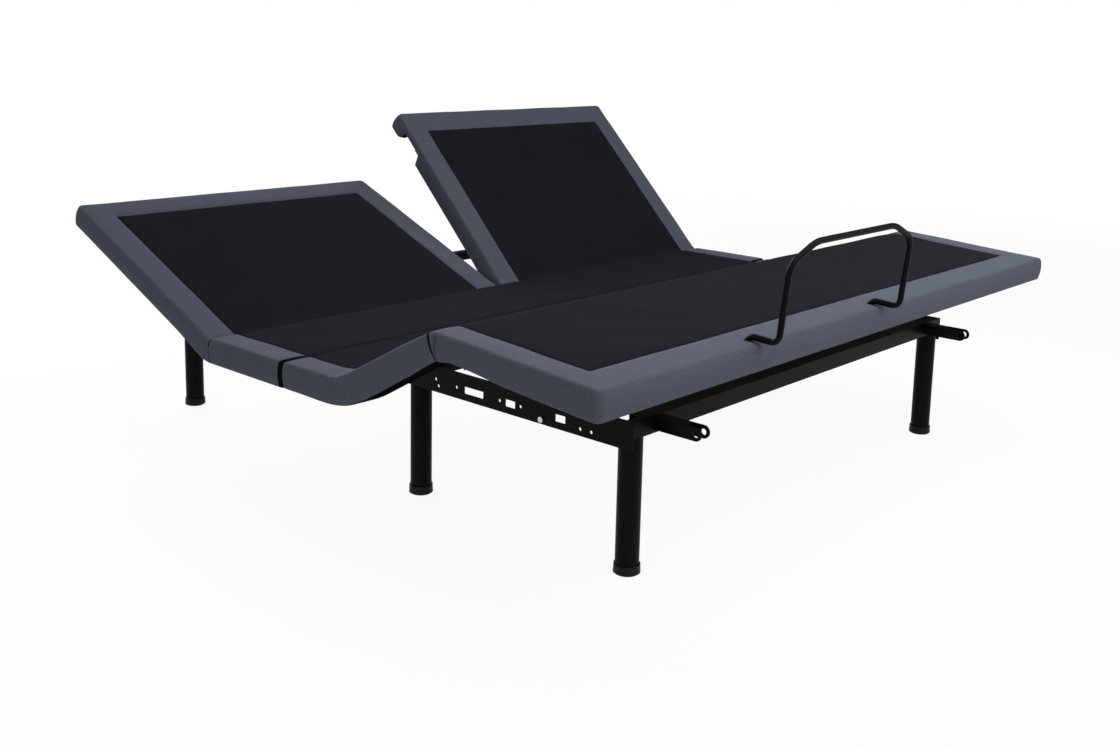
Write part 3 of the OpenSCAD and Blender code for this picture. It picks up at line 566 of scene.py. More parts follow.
class Cover:
    """A padded cover on X from x0 to x1 and on the distance from s0 to s1 along its section.

    A band of border fabric goes from the seam over the padded edge, down the skirt, round its
    hem and up its inner face to the underside. A panel of deck fabric fills the rest. A point
    is given as x, its distance s along the section and its height n above the hinge lines.
    """

    def __init__(self, x0, x1, s0, s1, left, right, end=None):
        self.x0, self.x1, self.s0, self.s1 = x0, x1, s0, s1
        self.left, self.right, self.end = left, right, end
        self.under = BOARD_HIGH + BOARD_GAP
        self.settings = bpy.context.scene.bed_covers
        self.near_round = self.far_round = PUFF_RADIUS
        self.near_tuck = self.far_tuck = 0.0015
        # Level below which an end is no longer tucked in
        self.tuck_low = EDGE_LOW - 1
        self.hem, self.wrap = 0.009, 0.0262
        # Rows at each open end, where a joint closes, that take the dark lining fabric as painted shade in the joint,
        # and the columns they reach
        self.near_dark = self.far_dark = 1
        self.dark_columns = 100
        self.low_of = lambda side, s: np.full_like(s, EDGE_LOW)
        self.shape = lambda x, s, n: (x, s, n)
        self.length_runs = ()

    def along_steps(self):
        """Distances of the rows, crowded at the ends and at the seam before an end skirt."""
        tolerance = 1e-9
        stop = self.s1 - (self.end or 0)
        first = self.s0 + self.near_round
        runs = [end_run(self.s0, self.near_round), *self.length_runs]
        if self.end:
            runs += [steps(first, stop - SEAM_STEPS[-1], ROW_STEP), stop - SEAM_STEPS]
        else:
            far = end_run(self.s0, self.far_round) - self.s0
            runs += [steps(first, self.s1 - self.far_round, ROW_STEP), self.s1 - far]
        rows = joined(*runs)
        rows = rows[(rows >= self.s0 - tolerance) & (rows <= stop + tolerance)]
        return rows[np.concatenate([[True], np.diff(rows) > CLOSEST_ROWS])]

    def tracks(self, rows, columns):
        """Outline points, seam points and sides of each band of border fabric.

        With an end skirt there is one band, up the left side, round the end and back down the
        right side. Without one there are two, down the left side and up the right side.
        """

        def line(x, s):
            return np.stack(np.broadcast_arrays(np.asarray(x, float), s), -1)

        xl, xr = self.x0 + self.left, self.x1 - self.right
        back = rows[::-1]
        if not self.end:
            yield line(self.x0, back), line(xl, back), np.full(len(rows), "left")
            yield line(self.x1, rows), line(xr, rows), np.full(len(rows), "right")
            return
        radius = self.settings.corner_radius
        stop = self.s1 - self.end
        turn = quarter(9)[1:-1]
        sine, cosine = radius * (1 - np.sin(turn)), radius * (1 - np.cos(turn))
        flat_s = steps(stop, self.s1 - radius, SKIRT_STEP)[1:]
        flat_l = steps(self.x0 + radius, xl, SKIRT_STEP)[:-1]
        flat_r = steps(xr, self.x1 - radius, SKIRT_STEP)[1:]
        outline = [
            line(self.x0, rows),
            line(self.x0, flat_s),
            line(self.x0 + cosine, self.s1 - sine),
            line(flat_l, self.s1),
            line(columns, self.s1),
            line(flat_r, self.s1),
            line(self.x1 - sine, self.s1 - cosine),
            line(self.x1, flat_s[::-1]),
            line(self.x1, back),
        ]
        corner_l = len(flat_s) + len(turn) + len(flat_l)
        corner_r = len(flat_r) + len(turn) + len(flat_s)
        seam = [
            line(xl, rows),
            line(np.full(corner_l, xl), stop),
            line(columns, stop),
            line(np.full(corner_r, xr), stop),
            line(xr, back),
        ]
        beside = len(rows) + len(flat_s)
        around = 2 * len(turn) + len(flat_l) + len(columns) + len(flat_r)
        sides = np.repeat(["left", "end", "right"], [beside, around, beside])
        yield np.concatenate(outline), np.concatenate(seam), sides

    def band_section(self, outline, seam, sides):
        """Insets and levels of the band: top with its seam, padded edge, skirt, hem and inside."""
        sizes, curl, wrap = self.settings, self.hem, self.wrap
        thick, radius = sizes.skirt_thickness, sizes.edge_radius
        span = np.linalg.norm(seam - outline, axis=1)[:, None]
        low = np.empty((len(outline), 1))
        for side in ("left", "right", "end"):
            mask = sides == side
            low[mask, 0] = self.low_of(side, outline[mask, 1])

        def each(values):
            """The same values at every point of the outline."""
            return np.broadcast_to(values, (len(outline), len(values)))

        near = SEAM_STEPS / (span - radius)
        far = np.linspace(0, 1, 8)[1:] * (1 - near[:, -1:]) + near[:, -1:]
        share = 1 - np.concatenate([near, far], 1)
        top_inset = radius + (span - radius) * share
        dip = seam_dip(span - top_inset, sizes.seam_depth)
        top_level = TOP - dip - CROWN * (2 * share - 1) ** 2
        bend = quarter(8)[1:]
        arc_inset = each(radius * (1 - np.sin(bend)))
        arc_level = each(TOP - CROWN - radius * (1 - np.cos(bend)))
        drop = np.linspace(0, 1, 11)[1:]
        depth = (TOP - radius) - (low + curl)
        bulge = np.clip(depth / FULL_SKIRT, 0.2, 1)
        face_inset = -sizes.skirt_bulge * np.sin(math.pi * drop) ** 0.8 * bulge
        face_level = (TOP - radius) - depth * drop
        turn = quarter(9)[1:]
        hem_inset = each(curl * (1 - np.cos(turn)))
        hem_level = low + curl - curl * np.sin(turn)
        tip = 0.0015
        wrap_inset = np.array(
            [wrap - tip, wrap, wrap, wrap - tip, wrap / 2, thick + tip, thick, thick]
        )
        wrap_rise = np.array([0, tip, LIP - tip, LIP, LIP, LIP, LIP + tip, LIP + 2 * tip])
        up = np.linspace(0, 1, len(drop) + len(bend) + 1)[1:]
        inside = 1 - share[:, ::-1][:, 1:]
        inset = [
            top_inset,
            arc_inset,
            face_inset,
            hem_inset,
            each(wrap_inset),
            each(np.full(len(up), thick)),
            thick + (span - thick) * inside,
        ]
        level = [
            top_level,
            arc_level,
            face_level,
            hem_level,
            low + wrap_rise,
            (low + wrap_rise[-1]) * (1 - up) + self.under * up,
            np.full_like(inside, self.under),
        ]
        return np.concatenate(inset, 1), np.concatenate(level, 1)

    def finish_points(self, x, s, n):
        """Rounds the open ends down and gives the padding its small unevenness."""
        unevenness, low_side = 0.0006, 0.004
        raised = np.clip(n / TOP, 0, 1)
        inside = np.minimum(x - self.x0 - self.left, self.x1 - self.right - x)
        inside = smooth(inside / 0.05)
        open_ends = [(s - self.s0, self.near_round)]
        if not self.end:
            open_ends.append((self.s1 - s, self.far_round))
        for distance, radius in open_ends:
            keep = PANEL_ROUND if radius >= SHARP_ROUND else 0.0
            n = n - round_drop(distance, radius) * raised * (1 - (1 - keep) * inside)
        swell = unevenness * rolling_noise(x, s, pitch=0.21, seed=3)
        n = n - np.where(n > low_side, unevenness + swell, 0.0)
        return self.shape(x, s, n)

    def band(self, outline, seam, sides, place):
        """Points and UVs of a band, with its outer face tucked in at the open ends."""
        inset, level = self.band_section(outline, seam, sides)
        outer = inset.shape[1] // 2 + 1
        tuck = round_drop(outline[:, 1] - self.s0, self.near_tuck)
        if not self.end:
            tuck = tuck + round_drop(self.s1 - outline[:, 1], self.far_tuck)
        reach = np.clip((TOP - 0.001 - level[:, :outer]) / self.settings.edge_radius, 0, 1)
        reach = reach * smooth((level[:, :outer] - self.tuck_low) / 0.03)
        inset[:, :outer] += tuck[:, None] * reach
        step = seam - outline
        span = np.linalg.norm(step, axis=1)[:, None]
        point = outline[:, None] + (step / span)[:, None] * inset[..., None]
        world = place(*self.finish_points(point[..., 0], point[..., 1], level))
        run = running(np.linalg.norm(np.diff(outline, axis=0), axis=1))
        cross = running(np.hypot(np.diff(inset, axis=1), np.diff(level, axis=1)))
        return world, np.stack([np.broadcast_to(run[:, None], cross.shape), cross], -1)

    def lay_band(self, shell, world, uv, far_first):
        """Adds a band: border fabric, dark lining fabric as painted shade in the joints at its open ends, and lining
        on its inside.
        """
        stop = len(world) - 1
        # The lining starts on the outer curve of the hem: partly the real lining, partly painted shade along the
        # skirt's lower edge
        lining_from = (world.shape[1] - 1) // 2 - HEM_LINING_AND_SHADE
        first, last = self.near_dark, stop - self.far_dark
        if self.end:
            last = stop - self.near_dark
        elif far_first:
            first, last = self.far_dark, stop - self.near_dark
        limit = min(lining_from, self.dark_columns)
        # The first and last rows take dark lining fabric: painted shade in the joints where covers meet
        for a, b, cloth in ((0, first, LINING), (first, last, BORDER), (last, stop, LINING)):
            for c, d, kind in ((0, limit, cloth), (limit, lining_from, BORDER)):
                if d > c:
                    part = slice(a, b + 1), slice(c, d + 1)
                    shell.grid(world[part], uv[part], kind)
        shell.grid(world[:, lining_from:], uv[:, lining_from:], LINING)

    def sew(self, name, place):
        """One closed shell: the bands, the deck panel, its underside and the open ends."""
        rim_step = 0.004
        rows = self.along_steps()
        columns = between_seams(self.x0 + self.left, self.x1 - self.right, COLUMN_STEP)
        shell = Surfaces()
        rims = []
        for outline, seam, sides in self.tracks(rows, columns):
            world, uv = self.band(outline, seam, sides, place)
            self.lay_band(shell, world, uv, sides[0] == "left")
            half = (world.shape[1] - 1) // 2
            outer, inner = world[:, : half + 1], world[:, : half - 1 : -1]
            rims += [np.stack([inner[0], outer[0]]), np.stack([outer[-1], inner[-1]])]
        self.panel(shell, rows, columns, place)
        for rim in rims:
            uv = np.zeros(rim.shape[:2] + (2,))
            uv[..., 0] = np.arange(rim.shape[1]) * rim_step
            shell.grid(rim, uv, BORDER)
        return shell.make(name, cover_finishes())

    def panel(self, shell, rows, columns, place):
        """Deck fabric between the seams, its underside and its open ends."""
        x, along = np.meshgrid(columns, rows)
        gap = np.minimum(x - columns[0], columns[-1] - x)
        if self.end:
            gap = np.minimum(gap, rows[-1] - along)
        depth = self.settings.seam_depth
        level = TOP - CROWN - seam_dip(gap, depth) - CROWN * np.exp(-gap / 0.03)
        level = np.where(gap <= 0, TOP - depth - CROWN, level)
        top = place(*self.finish_points(x, along, level))
        under = place(*self.finish_points(x, along, np.full_like(x, self.under)))
        uv = np.stack([x, along], -1)
        shell.grid(top, uv, DECK)
        shell.grid(under[::-1], uv[::-1], LINING)
        shell.grid(np.stack([under[0], top[0]]), np.stack([uv[0], uv[0] + 0.01]), DECK)
        if not self.end:
            shell.grid(np.stack([top[-1], under[-1]]), np.stack([uv[-1], uv[-1] + 0.01]), DECK)


# ---------- shader nodes ----------


class Value:
    """A value socket that takes part in sums: each operator adds one Math node."""

    def __init__(self, finish, socket):
        self.finish, self.socket = finish, socket

    def _maths(self, operation, first, second):
        return self.finish.value(operation, first, second)

    def __add__(self, other):
        return self._maths("ADD", self, other)

    __radd__ = __add__

    def __mul__(self, other):
        return self._maths("MULTIPLY", self, other)

    __rmul__ = __mul__

    def __rsub__(self, other):
        return self._maths("SUBTRACT", other, self)

    def __gt__(self, other):
        return self._maths("GREATER_THAN", self, other)


class Finish:
    """A material under construction."""

    def __init__(self, name):
        self.material = bpy.data.materials.new(name)
        self.material.use_nodes = True
        self.tree = self.material.node_tree
        self.shader = self.tree.nodes["Principled BSDF"]

    def node(self, kind, settings=None, **inputs):
        """Adds a node, sets what it is, then its sockets by name, or as i0 or i1 by number."""
        made = self.tree.nodes.new(kind)
        for key, value in (settings or {}).items():
            if key == "stops":
                ramp = made.color_ramp
                while len(ramp.elements) < len(value):
                    ramp.elements.new(0.5)
                for element, (place, colour) in zip(ramp.elements, value):
                    element.position = place
                    element.color = (*colour, 1.0)
            else:
                setattr(made, key, value)
        for key, value in inputs.items():
            by_number = key[0] == "i" and key[1:].isdigit()
            name = int(key[1:]) if by_number else key.replace("_", " ")
            self.feed(made.inputs[name], value)
        return made

    def feed(self, socket, value):
        """Links a socket to another, or sets its value."""
        if isinstance(value, Value):
            value = value.socket
        if isinstance(value, bpy.types.NodeSocket):
            self.tree.links.new(value, socket)
        else:
            socket.default_value = value

    def value(self, operation, first, second=0.0):
        """One Math node."""
        made = self.node("ShaderNodeMath", {"operation": operation}, i0=first, i1=second)
        return Value(self, made.outputs[0])

    def uv(self):
        """The piece's own UV map, which is in metres."""
        return self.node("ShaderNodeUVMap", {"uv_map": "UVMap"}).outputs["UV"]

    def place(self):
        """Object coordinates."""
        return self.node("ShaderNodeTexCoord").outputs["Object"]

    def scaled(self, vector, scale):
        """Coordinates stretched by a factor for each axis."""
        return self.node(
            "ShaderNodeMapping", {"vector_type": "POINT"}, Vector=vector, Scale=scale
        ).outputs["Vector"]

    def noise(self, vector, scale, detail=2.0, rough=0.5):
        """Noise value from 0 to 1."""
        made = self.node(
            "ShaderNodeTexNoise", Vector=vector, Scale=scale, Detail=detail, Roughness=rough
        )
        return Value(self, made.outputs["Fac"])

    def blend(self, amount, first, second):
        """Colour between two colours."""
        made = self.node("ShaderNodeMix", {"data_type": "RGBA"})
        self.feed(made.inputs["Factor"], amount)
        for name, value in (("A", first), ("B", second)):
            socket = [i for i in made.inputs if i.name == name and i.type == "RGBA"][0]
            if not isinstance(value, bpy.types.NodeSocket):
                value = (*value, 1.0)
            self.feed(socket, value)
        return [o for o in made.outputs if o.type == "RGBA"][0]

    def bump(self, height, distance, strength=1.0):
        """Normal from a height in 0..1 that stands for distance metres."""
        made = self.node("ShaderNodeBump", Height=height, Distance=distance, Strength=strength)
        self.feed(self.shader.inputs["Normal"], made.outputs["Normal"])

    def set(self, **values):
        """Sets or links the shader's own sockets."""
        for key, value in values.items():
            self.feed(self.shader.inputs[key.replace("_", " ")], value)
        return self


def shade(colour, factor):
    """A colour made lighter or darker."""
    return tuple(min(1.0, c * factor) for c in colour)


def weave(finish, uv, pitch):
    """Height of a plain weave: one thread's wave times the crossing thread's, 0 to 1."""
    parts = finish.node("ShaderNodeSeparateXYZ", Vector=uv)
    turn = 2 * math.pi / pitch
    warp = finish.value("SINE", Value(finish, parts.outputs["X"]) * turn)
    weft = finish.value("SINE", Value(finish, parts.outputs["Y"]) * turn)
    return warp * weft * 0.5 + 0.5


def border_fabric(colour):
    """Heathered woven border: light and dark fibres over a plain weave."""
    finish = Finish("border_fabric")
    uv = finish.uv()
    fibres = finish.noise(finish.scaled(uv, (260.0, 900.0, 1.0)), 1.0, 3.0, 0.65)
    crossing = finish.noise(finish.scaled(uv, (900.0, 260.0, 1.0)), 1.0, 3.0, 0.65)
    cloud = finish.noise(uv, 14.0, 2.0)
    mottle = finish.noise(uv, 120.0, 3.0, 0.7)
    mix = fibres * 0.35 + crossing * 0.35 + mottle * 0.3
    heather = finish.node(
        "ShaderNodeValToRGB",
        {
            "stops": (
                (0.30, shade(colour, 0.62)),
                (0.50, colour),
                (0.72, shade(colour, 1.55)),
            )
        },
        Fac=mix,
    ).outputs["Color"]
    worn = finish.blend(cloud * 0.35, heather, shade(colour, 1.25))
    height = weave(finish, uv, 0.0022) * 0.6 + mix * 0.4
    finish.bump(height, 0.0005, 0.55)
    finish.set(Base_Color=worn, Roughness=0.86, Specular_IOR_Level=0.0)
    finish.set(Sheen_Weight=0.18, Sheen_Roughness=0.3, Sheen_Tint=(0.75, 0.81, 1.0, 1.0))
    return finish.material


def deck_fabric(colour):
    """Black non-slip deck fabric: a fine weave with small raised grip dots."""
    finish = Finish("deck_fabric")
    uv = finish.uv()
    cloud = finish.noise(uv, 5.0, 2.0)
    fibre = finish.noise(finish.scaled(uv, (700.0, 300.0, 1.0)), 1.0, 2.0)
    tone = finish.blend(cloud * 0.5 + fibre * 0.5, shade(colour, 0.8), shade(colour, 1.3))
    dots = weave(finish, uv, 0.006)
    raised = dots > 0.8
    finish.bump(weave(finish, uv, 0.0016) * 0.5 + raised * 0.5, 0.0004, 0.5)
    finish.set(Base_Color=tone, Roughness=0.78 - raised * 0.12, Specular_IOR_Level=0.0)
    finish.set(Sheen_Weight=0.04, Sheen_Roughness=0.3, Sheen_Tint=(0.78, 0.8, 1.0, 1.0))
    return finish.material


def lining_fabric(colour):
    """Thin non-woven lining on the undersides."""
    finish = Finish("lining_fabric")
    uv = finish.uv()
    speck = finish.noise(uv, 400.0, 2.0)
    finish.bump(speck, 0.0003, 0.4)
    finish.set(
        Base_Color=finish.blend(speck, shade(colour, 0.8), shade(colour, 1.2)),
        Roughness=0.9,
        Specular_IOR_Level=0.0,
    )
    return finish.material


def powder_coat(colour):
    """Satin black powder coat with a fine orange peel and dusty patches."""
    finish = Finish("powder_coat")
    place = finish.place()
    peel = finish.noise(place, 900.0, 2.0)
    dust = finish.noise(place, 9.0, 3.0)
    finish.bump(peel, 0.0002, 0.25)
    finish.set(
        Base_Color=finish.blend(dust, colour, shade(colour, 1.45)),
        Roughness=dust * 0.14 + 0.33,
        Specular_IOR_Level=0.05,
    )
    return finish.material


def zinc_plate(colour):
    """Bright zinc with fine turning marks."""
    finish = Finish("zinc_plate")
    marks = finish.noise(finish.scaled(finish.place(), (60.0, 1200.0, 1200.0)), 1.0, 2.0)
    finish.bump(marks, 0.0001, 0.2)
    finish.set(
        Base_Color=finish.blend(marks, shade(colour, 0.8), colour),
        Metallic=1.0,
        Roughness=marks * 0.2 + 0.22,
    )
    return finish.material


def plywood(colour):
    """Raw plywood: long drawn grain on the faces and dark and light plies on the edges."""
    finish = Finish("plywood")
    place = finish.place()
    grain = finish.noise(finish.scaled(place, (120.0, 6.0, 120.0)), 1.0, 4.0, 0.6)
    ring = finish.noise(finish.scaled(place, (14.0, 1.2, 14.0)), 1.0, 3.0)
    mix = grain * 0.55 + ring * 0.45
    tone = finish.node(
        "ShaderNodeValToRGB",
        {
            "stops": (
                (0.32, shade(colour, 0.62)),
                (0.52, colour),
                (0.7, shade(colour, 1.3)),
            )
        },
        Fac=mix,
    ).outputs["Color"]
    finish.bump(grain, 0.0004, 0.35)
    finish.set(Base_Color=tone, Roughness=0.7)
    return finish.material


def moulded_plastic(colour):
    """Black moulded plastic with a fine spark-eroded grain."""
    finish = Finish("moulded_plastic")
    place = finish.place()
    grain = finish.noise(place, 1500.0, 2.0)
    cloud = finish.noise(place, 25.0, 2.0)
    finish.bump(grain, 0.0002, 0.35)
    finish.set(
        Base_Color=finish.blend(cloud, shade(colour, 0.85), shade(colour, 1.25)),
        Roughness=grain * 0.1 + 0.45,
        Specular_IOR_Level=0.15,
    )
    return finish.material


# ---------- operators ----------


def cover_finishes():
    """The three fabrics of a cover, in the order of its material indices."""
    colours = bpy.context.scene.bed_colours
    makers = {
        "border_fabric": (border_fabric, colours.border),
        "deck_fabric": (deck_fabric, colours.deck),
        "lining_fabric": (lining_fabric, shade(colours.deck, 0.45)),
    }
    return [
        bpy.data.materials.get(name) or make(tuple(colour))
        for name, (make, colour) in makers.items()
    ]


def back_cover(name, x0, x1, slope, body, node):
    """One half of the split back. Its hem is raised near the head end on the split side."""
    # Distances from the head end where the hem starts to rise and to come down, and how long
    # each takes
    rise_start, rise_length, fall_start, fall_length = 0.171, 0.014, 0.066, 0.024
    raised = 0.036
    sizes = bpy.context.scene.bed_covers
    split_side = "right" if x1 < 0 else "left"
    widths = (sizes.outer_border, sizes.split_border)
    if split_side == "left":
        widths = widths[::-1]
    cover = Cover(x0, x1, -FOLD, BACK_LENGTH, *widths, end=sizes.outer_border)
    cover.length_runs = (
        steps(-FOLD, FOLD, 0.003),
        BACK_LENGTH - rise_start + np.array([0.0, 0.003, 0.006, 0.010, 0.013, 0.016]),
    )

    def low(side, along):
        """The hem starts at the seat's level, and is raised for a stretch on the split side."""
        full = EDGE_LOW - SEAT_SAG * (1 - smooth((along - 0.02) / 0.12))
        if side != split_side:
            return full
        from_head = BACK_LENGTH - along
        rise = np.clip((rise_start - from_head) / rise_length, 0, 1)
        fall = np.clip((fall_start - from_head) / fall_length, 0, 1)
        fall = np.sqrt(1 - (1 - fall) ** 2)
        return full + raised * rise * (1 - fall)

    cover.low_of = low
    cover.near_round, cover.near_tuck, cover.tuck_low = 0.016, 0.012, -0.035
    # Painted shade: dark lining on the rows at the joint with the rear seat, over the top and the upper skirt
    cover.near_dark, cover.dark_columns = 4, 24
    piece = cover.sew(name, folded_from(BACK_LINE, 1, 0.0, slope))
    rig.padded(piece, fill=0.8)
    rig.replaces(piece, node)
    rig.slot(piece, "upholstery")
    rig.blend(piece, "base", body, *fold_ends(BACK_LINE, 1, 0.0, slope))


class BED_OT_backs(bpy.types.Operator):
    """Makes the two padded back covers."""

    bl_idname = "bed.backs"
    bl_label = "Back Covers"

    def execute(self, context):
        for body, x0, x1, slope in (
            ("left_back", -DECK_HALF, -SPLIT_HALF, LEFT_SLOPE),
            ("right_back", SPLIT_HALF, DECK_HALF, RIGHT_SLOPE),
        ):
            back_cover(f"{body}_padded_cover", x0, x1, slope, body, f"{body}_cover")
        return {"FINISHED"}


class BED_OT_seat(bpy.types.Operator):
    """Makes the rear seat cover, and the cover that runs from the seat over the hip."""

    bl_idname = "bed.seat"
    bl_label = "Seat and Thigh Covers"

    def execute(self, context):
        self.rear_seat(context)
        self.thigh(context)
        return {"FINISHED"}

    def rear_seat(self, context):
        """Flat padded section between the backs and the front seat."""
        width = context.scene.bed_covers.outer_border
        length = BACK_LINE[0] - HIP[0]
        start, stop = FOLD + 2 * COVER_GAP, length - SEAT_JOINT - SEAT_SLIT
        cover = Cover(-DECK_HALF, DECK_HALF, start, stop, width, width)
        cover.near_round, cover.near_tuck = 0.014, 0.006
        # Painted shade: dark lining on the rows at the joint with the thigh cover
        cover.far_round, cover.far_tuck, cover.far_dark = 0.016, 0.0105, 5
        cover.low_of = lambda side, s: np.full_like(s, EDGE_LOW - SEAT_SAG)

        def place(x, s, n):
            return np.stack([x, BACK_LINE[0] - s, BACK_LINE[1] + n], -1)

        piece = cover.sew("rear_seat_padded_cover", place)
        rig.padded(piece, fill=0.8)
        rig.replaces(piece, "rear_seat_cover")
        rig.slot(piece, "upholstery")
        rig.ride(piece, "base")

    def thigh(self, context):
        """Front seat and thigh under one cover, which bends over the hip hinge."""
        width = context.scene.bed_covers.outer_border
        # Distance from the cover's start to the hip, and half of the stretch that follows both
        hip, bend = SEAT_JOINT - SEAT_SLIT, 0.06
        # Half of the bend's own length on top beside the edge, on top elsewhere and at the hem
        edge_bend, middle_bend, hem_bend = 0.014, 0.05, 0.11
        hem_drop, top_sag, fold_depth = 0.014, 0.008, 0.0035
        length = hip + THIGH_LENGTH - FOLD - COVER_GAP
        cover = Cover(-DECK_HALF, DECK_HALF, 0.0, length, width, width)
        cover.length_runs = (
            steps(hip - hem_bend, hip + hem_bend, 0.006),
            steps(hip - 0.012, hip + 0.024, 0.002),
        )

        def place(x, s, n):
            """Bends sharply at the outer edge, softly in the middle and widely at the hem."""
            inside = smooth((DECK_HALF - np.abs(x) - 0.02) / 0.06)
            height = np.clip((n - EDGE_LOW) / (TOP - EDGE_LOW), 0, 1)
            half = (edge_bend + (middle_bend - edge_bend) * inside) * height
            half = half + hem_bend * (1 - height)
            along, level = folded(s - hip, n, half, 0.0, THIGH_SLOPE)
            return np.stack([x, HIP[0] - along, HIP[1] + level], -1)

        def low(side, s):
            """The hem hangs lowest just past the hip, and a little low along the thigh."""
            hang = smooth((s - hip + 0.11) / 0.15) * smooth((hip + 0.34 - s) / 0.32)
            return EDGE_LOW - SEAT_SAG * smooth((length - s) / 0.1) - hem_drop * hang

        def shape(x, s, n):
            """The top sags past the hip, and a fold runs down the skirt from its ridge."""
            past = s - hip
            sag = smooth((past + 0.03) / 0.11) * (1 - smooth((past - 0.06) / 0.25))
            top = np.clip(n / TOP, 0, 1)
            fold = np.exp(-(((past - 0.006 - 0.2 * n) / 0.005) ** 2))
            fold = fold * smooth((TOP - n) / 0.01) * smooth((n + 0.035) / 0.03)
            return pushed_in(x, fold_depth * fold), s, n - top_sag * sag * top

        cover.shape, cover.low_of = shape, low
        # Painted shade: dark lining on the rows at both joints, with the rear seat and with the foot cover
        cover.near_round, cover.near_tuck, cover.near_dark = 0.016, 0.0105, 5
        cover.hem, cover.wrap = 0.012, 0.06
        cover.far_round, cover.far_tuck, cover.far_dark = 0.004, 0.007, 5
        piece = cover.sew("thigh_padded_cover", place)
        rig.padded(piece, fill=0.8)
        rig.replaces(piece, "front_seat_cover", "thigh_cover")
        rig.slot(piece, "upholstery")
        start = (0.0, HIP[0] + bend, HIP[1])
        end = (0.0, HIP[0] - bend * math.cos(THIGH_SLOPE), HIP[1] + bend * math.sin(THIGH_SLOPE))
        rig.blend(piece, "base", "thigh", start, end)


class BED_OT_foot(bpy.types.Operator):
    """Makes the padded foot cover."""

    bl_idname = "bed.foot"
    bl_label = "Foot Cover"

    def execute(self, context):
        sizes = context.scene.bed_covers
        width, end = sizes.outer_border, sizes.foot_border
        ends = (KNEE, -1, THIGH_SLOPE, FOOT_SLOPE)
        hem_rise, hem_drop, fold_depth = 0.006, 0.003, 0.008
        cover = Cover(-DECK_HALF, DECK_HALF, -FOLD, FOOT_LENGTH, width, width, end=end)
        cover.near_round, cover.near_tuck = 0.004, 0.007
        # Painted shade: dark lining on the rows at the knee joint with the thigh cover
        cover.wrap, cover.near_dark = 0.06, 5
        cover.length_runs = (steps(-FOLD, FOLD, 0.002),)

        def low(side, s):
            """The hem is a little high past the knee and a little low at the foot end."""
            high = smooth((s - 0.02) / 0.03) * (1 - smooth((s - 0.06) / 0.16))
            return EDGE_LOW + hem_rise * high - hem_drop * smooth((s - 0.1) / 0.3)

        def shape(x, s, n):
            """A fold runs down the skirt at the knee."""
            fold = np.exp(-(((s - 0.008) / 0.003) ** 2)) * smooth((TOP - n - 0.004) / 0.01)
            return pushed_in(x, fold_depth * fold), s, n

        cover.shape, cover.low_of = shape, low
        piece = cover.sew("foot_padded_cover", folded_from(*ends))
        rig.padded(piece, fill=0.8)
        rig.replaces(piece, "foot_cover")
        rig.slot(piece, "upholstery")
        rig.blend(piece, "thigh", "foot_section", *fold_ends(*ends))
        return {"FINISHED"}


class BED_OT_finishes(bpy.types.Operator):
    """Gives every frame piece its finish by the record's material slots."""

    bl_idname = "bed.finishes"
    bl_label = "Finishes"

    def execute(self, context):
        colours = context.scene.bed_colours
        finishes = {
            "black_steel": powder_coat(tuple(colours.steel)),
            "zinc_steel": zinc_plate(tuple(colours.zinc)),
            "plywood": plywood(tuple(colours.wood)),
            "black_plastic": moulded_plastic(tuple(colours.plastic)),
        }
        for part in frame["record"]["subparts"]:
            finish = finishes.get(part["material_slot"])
            if finish is None:
                continue
            mesh = frame["nodes"][part["node"]].data
            mesh.materials.clear()
            mesh.materials.append(finish)
        return {"FINISHED"}


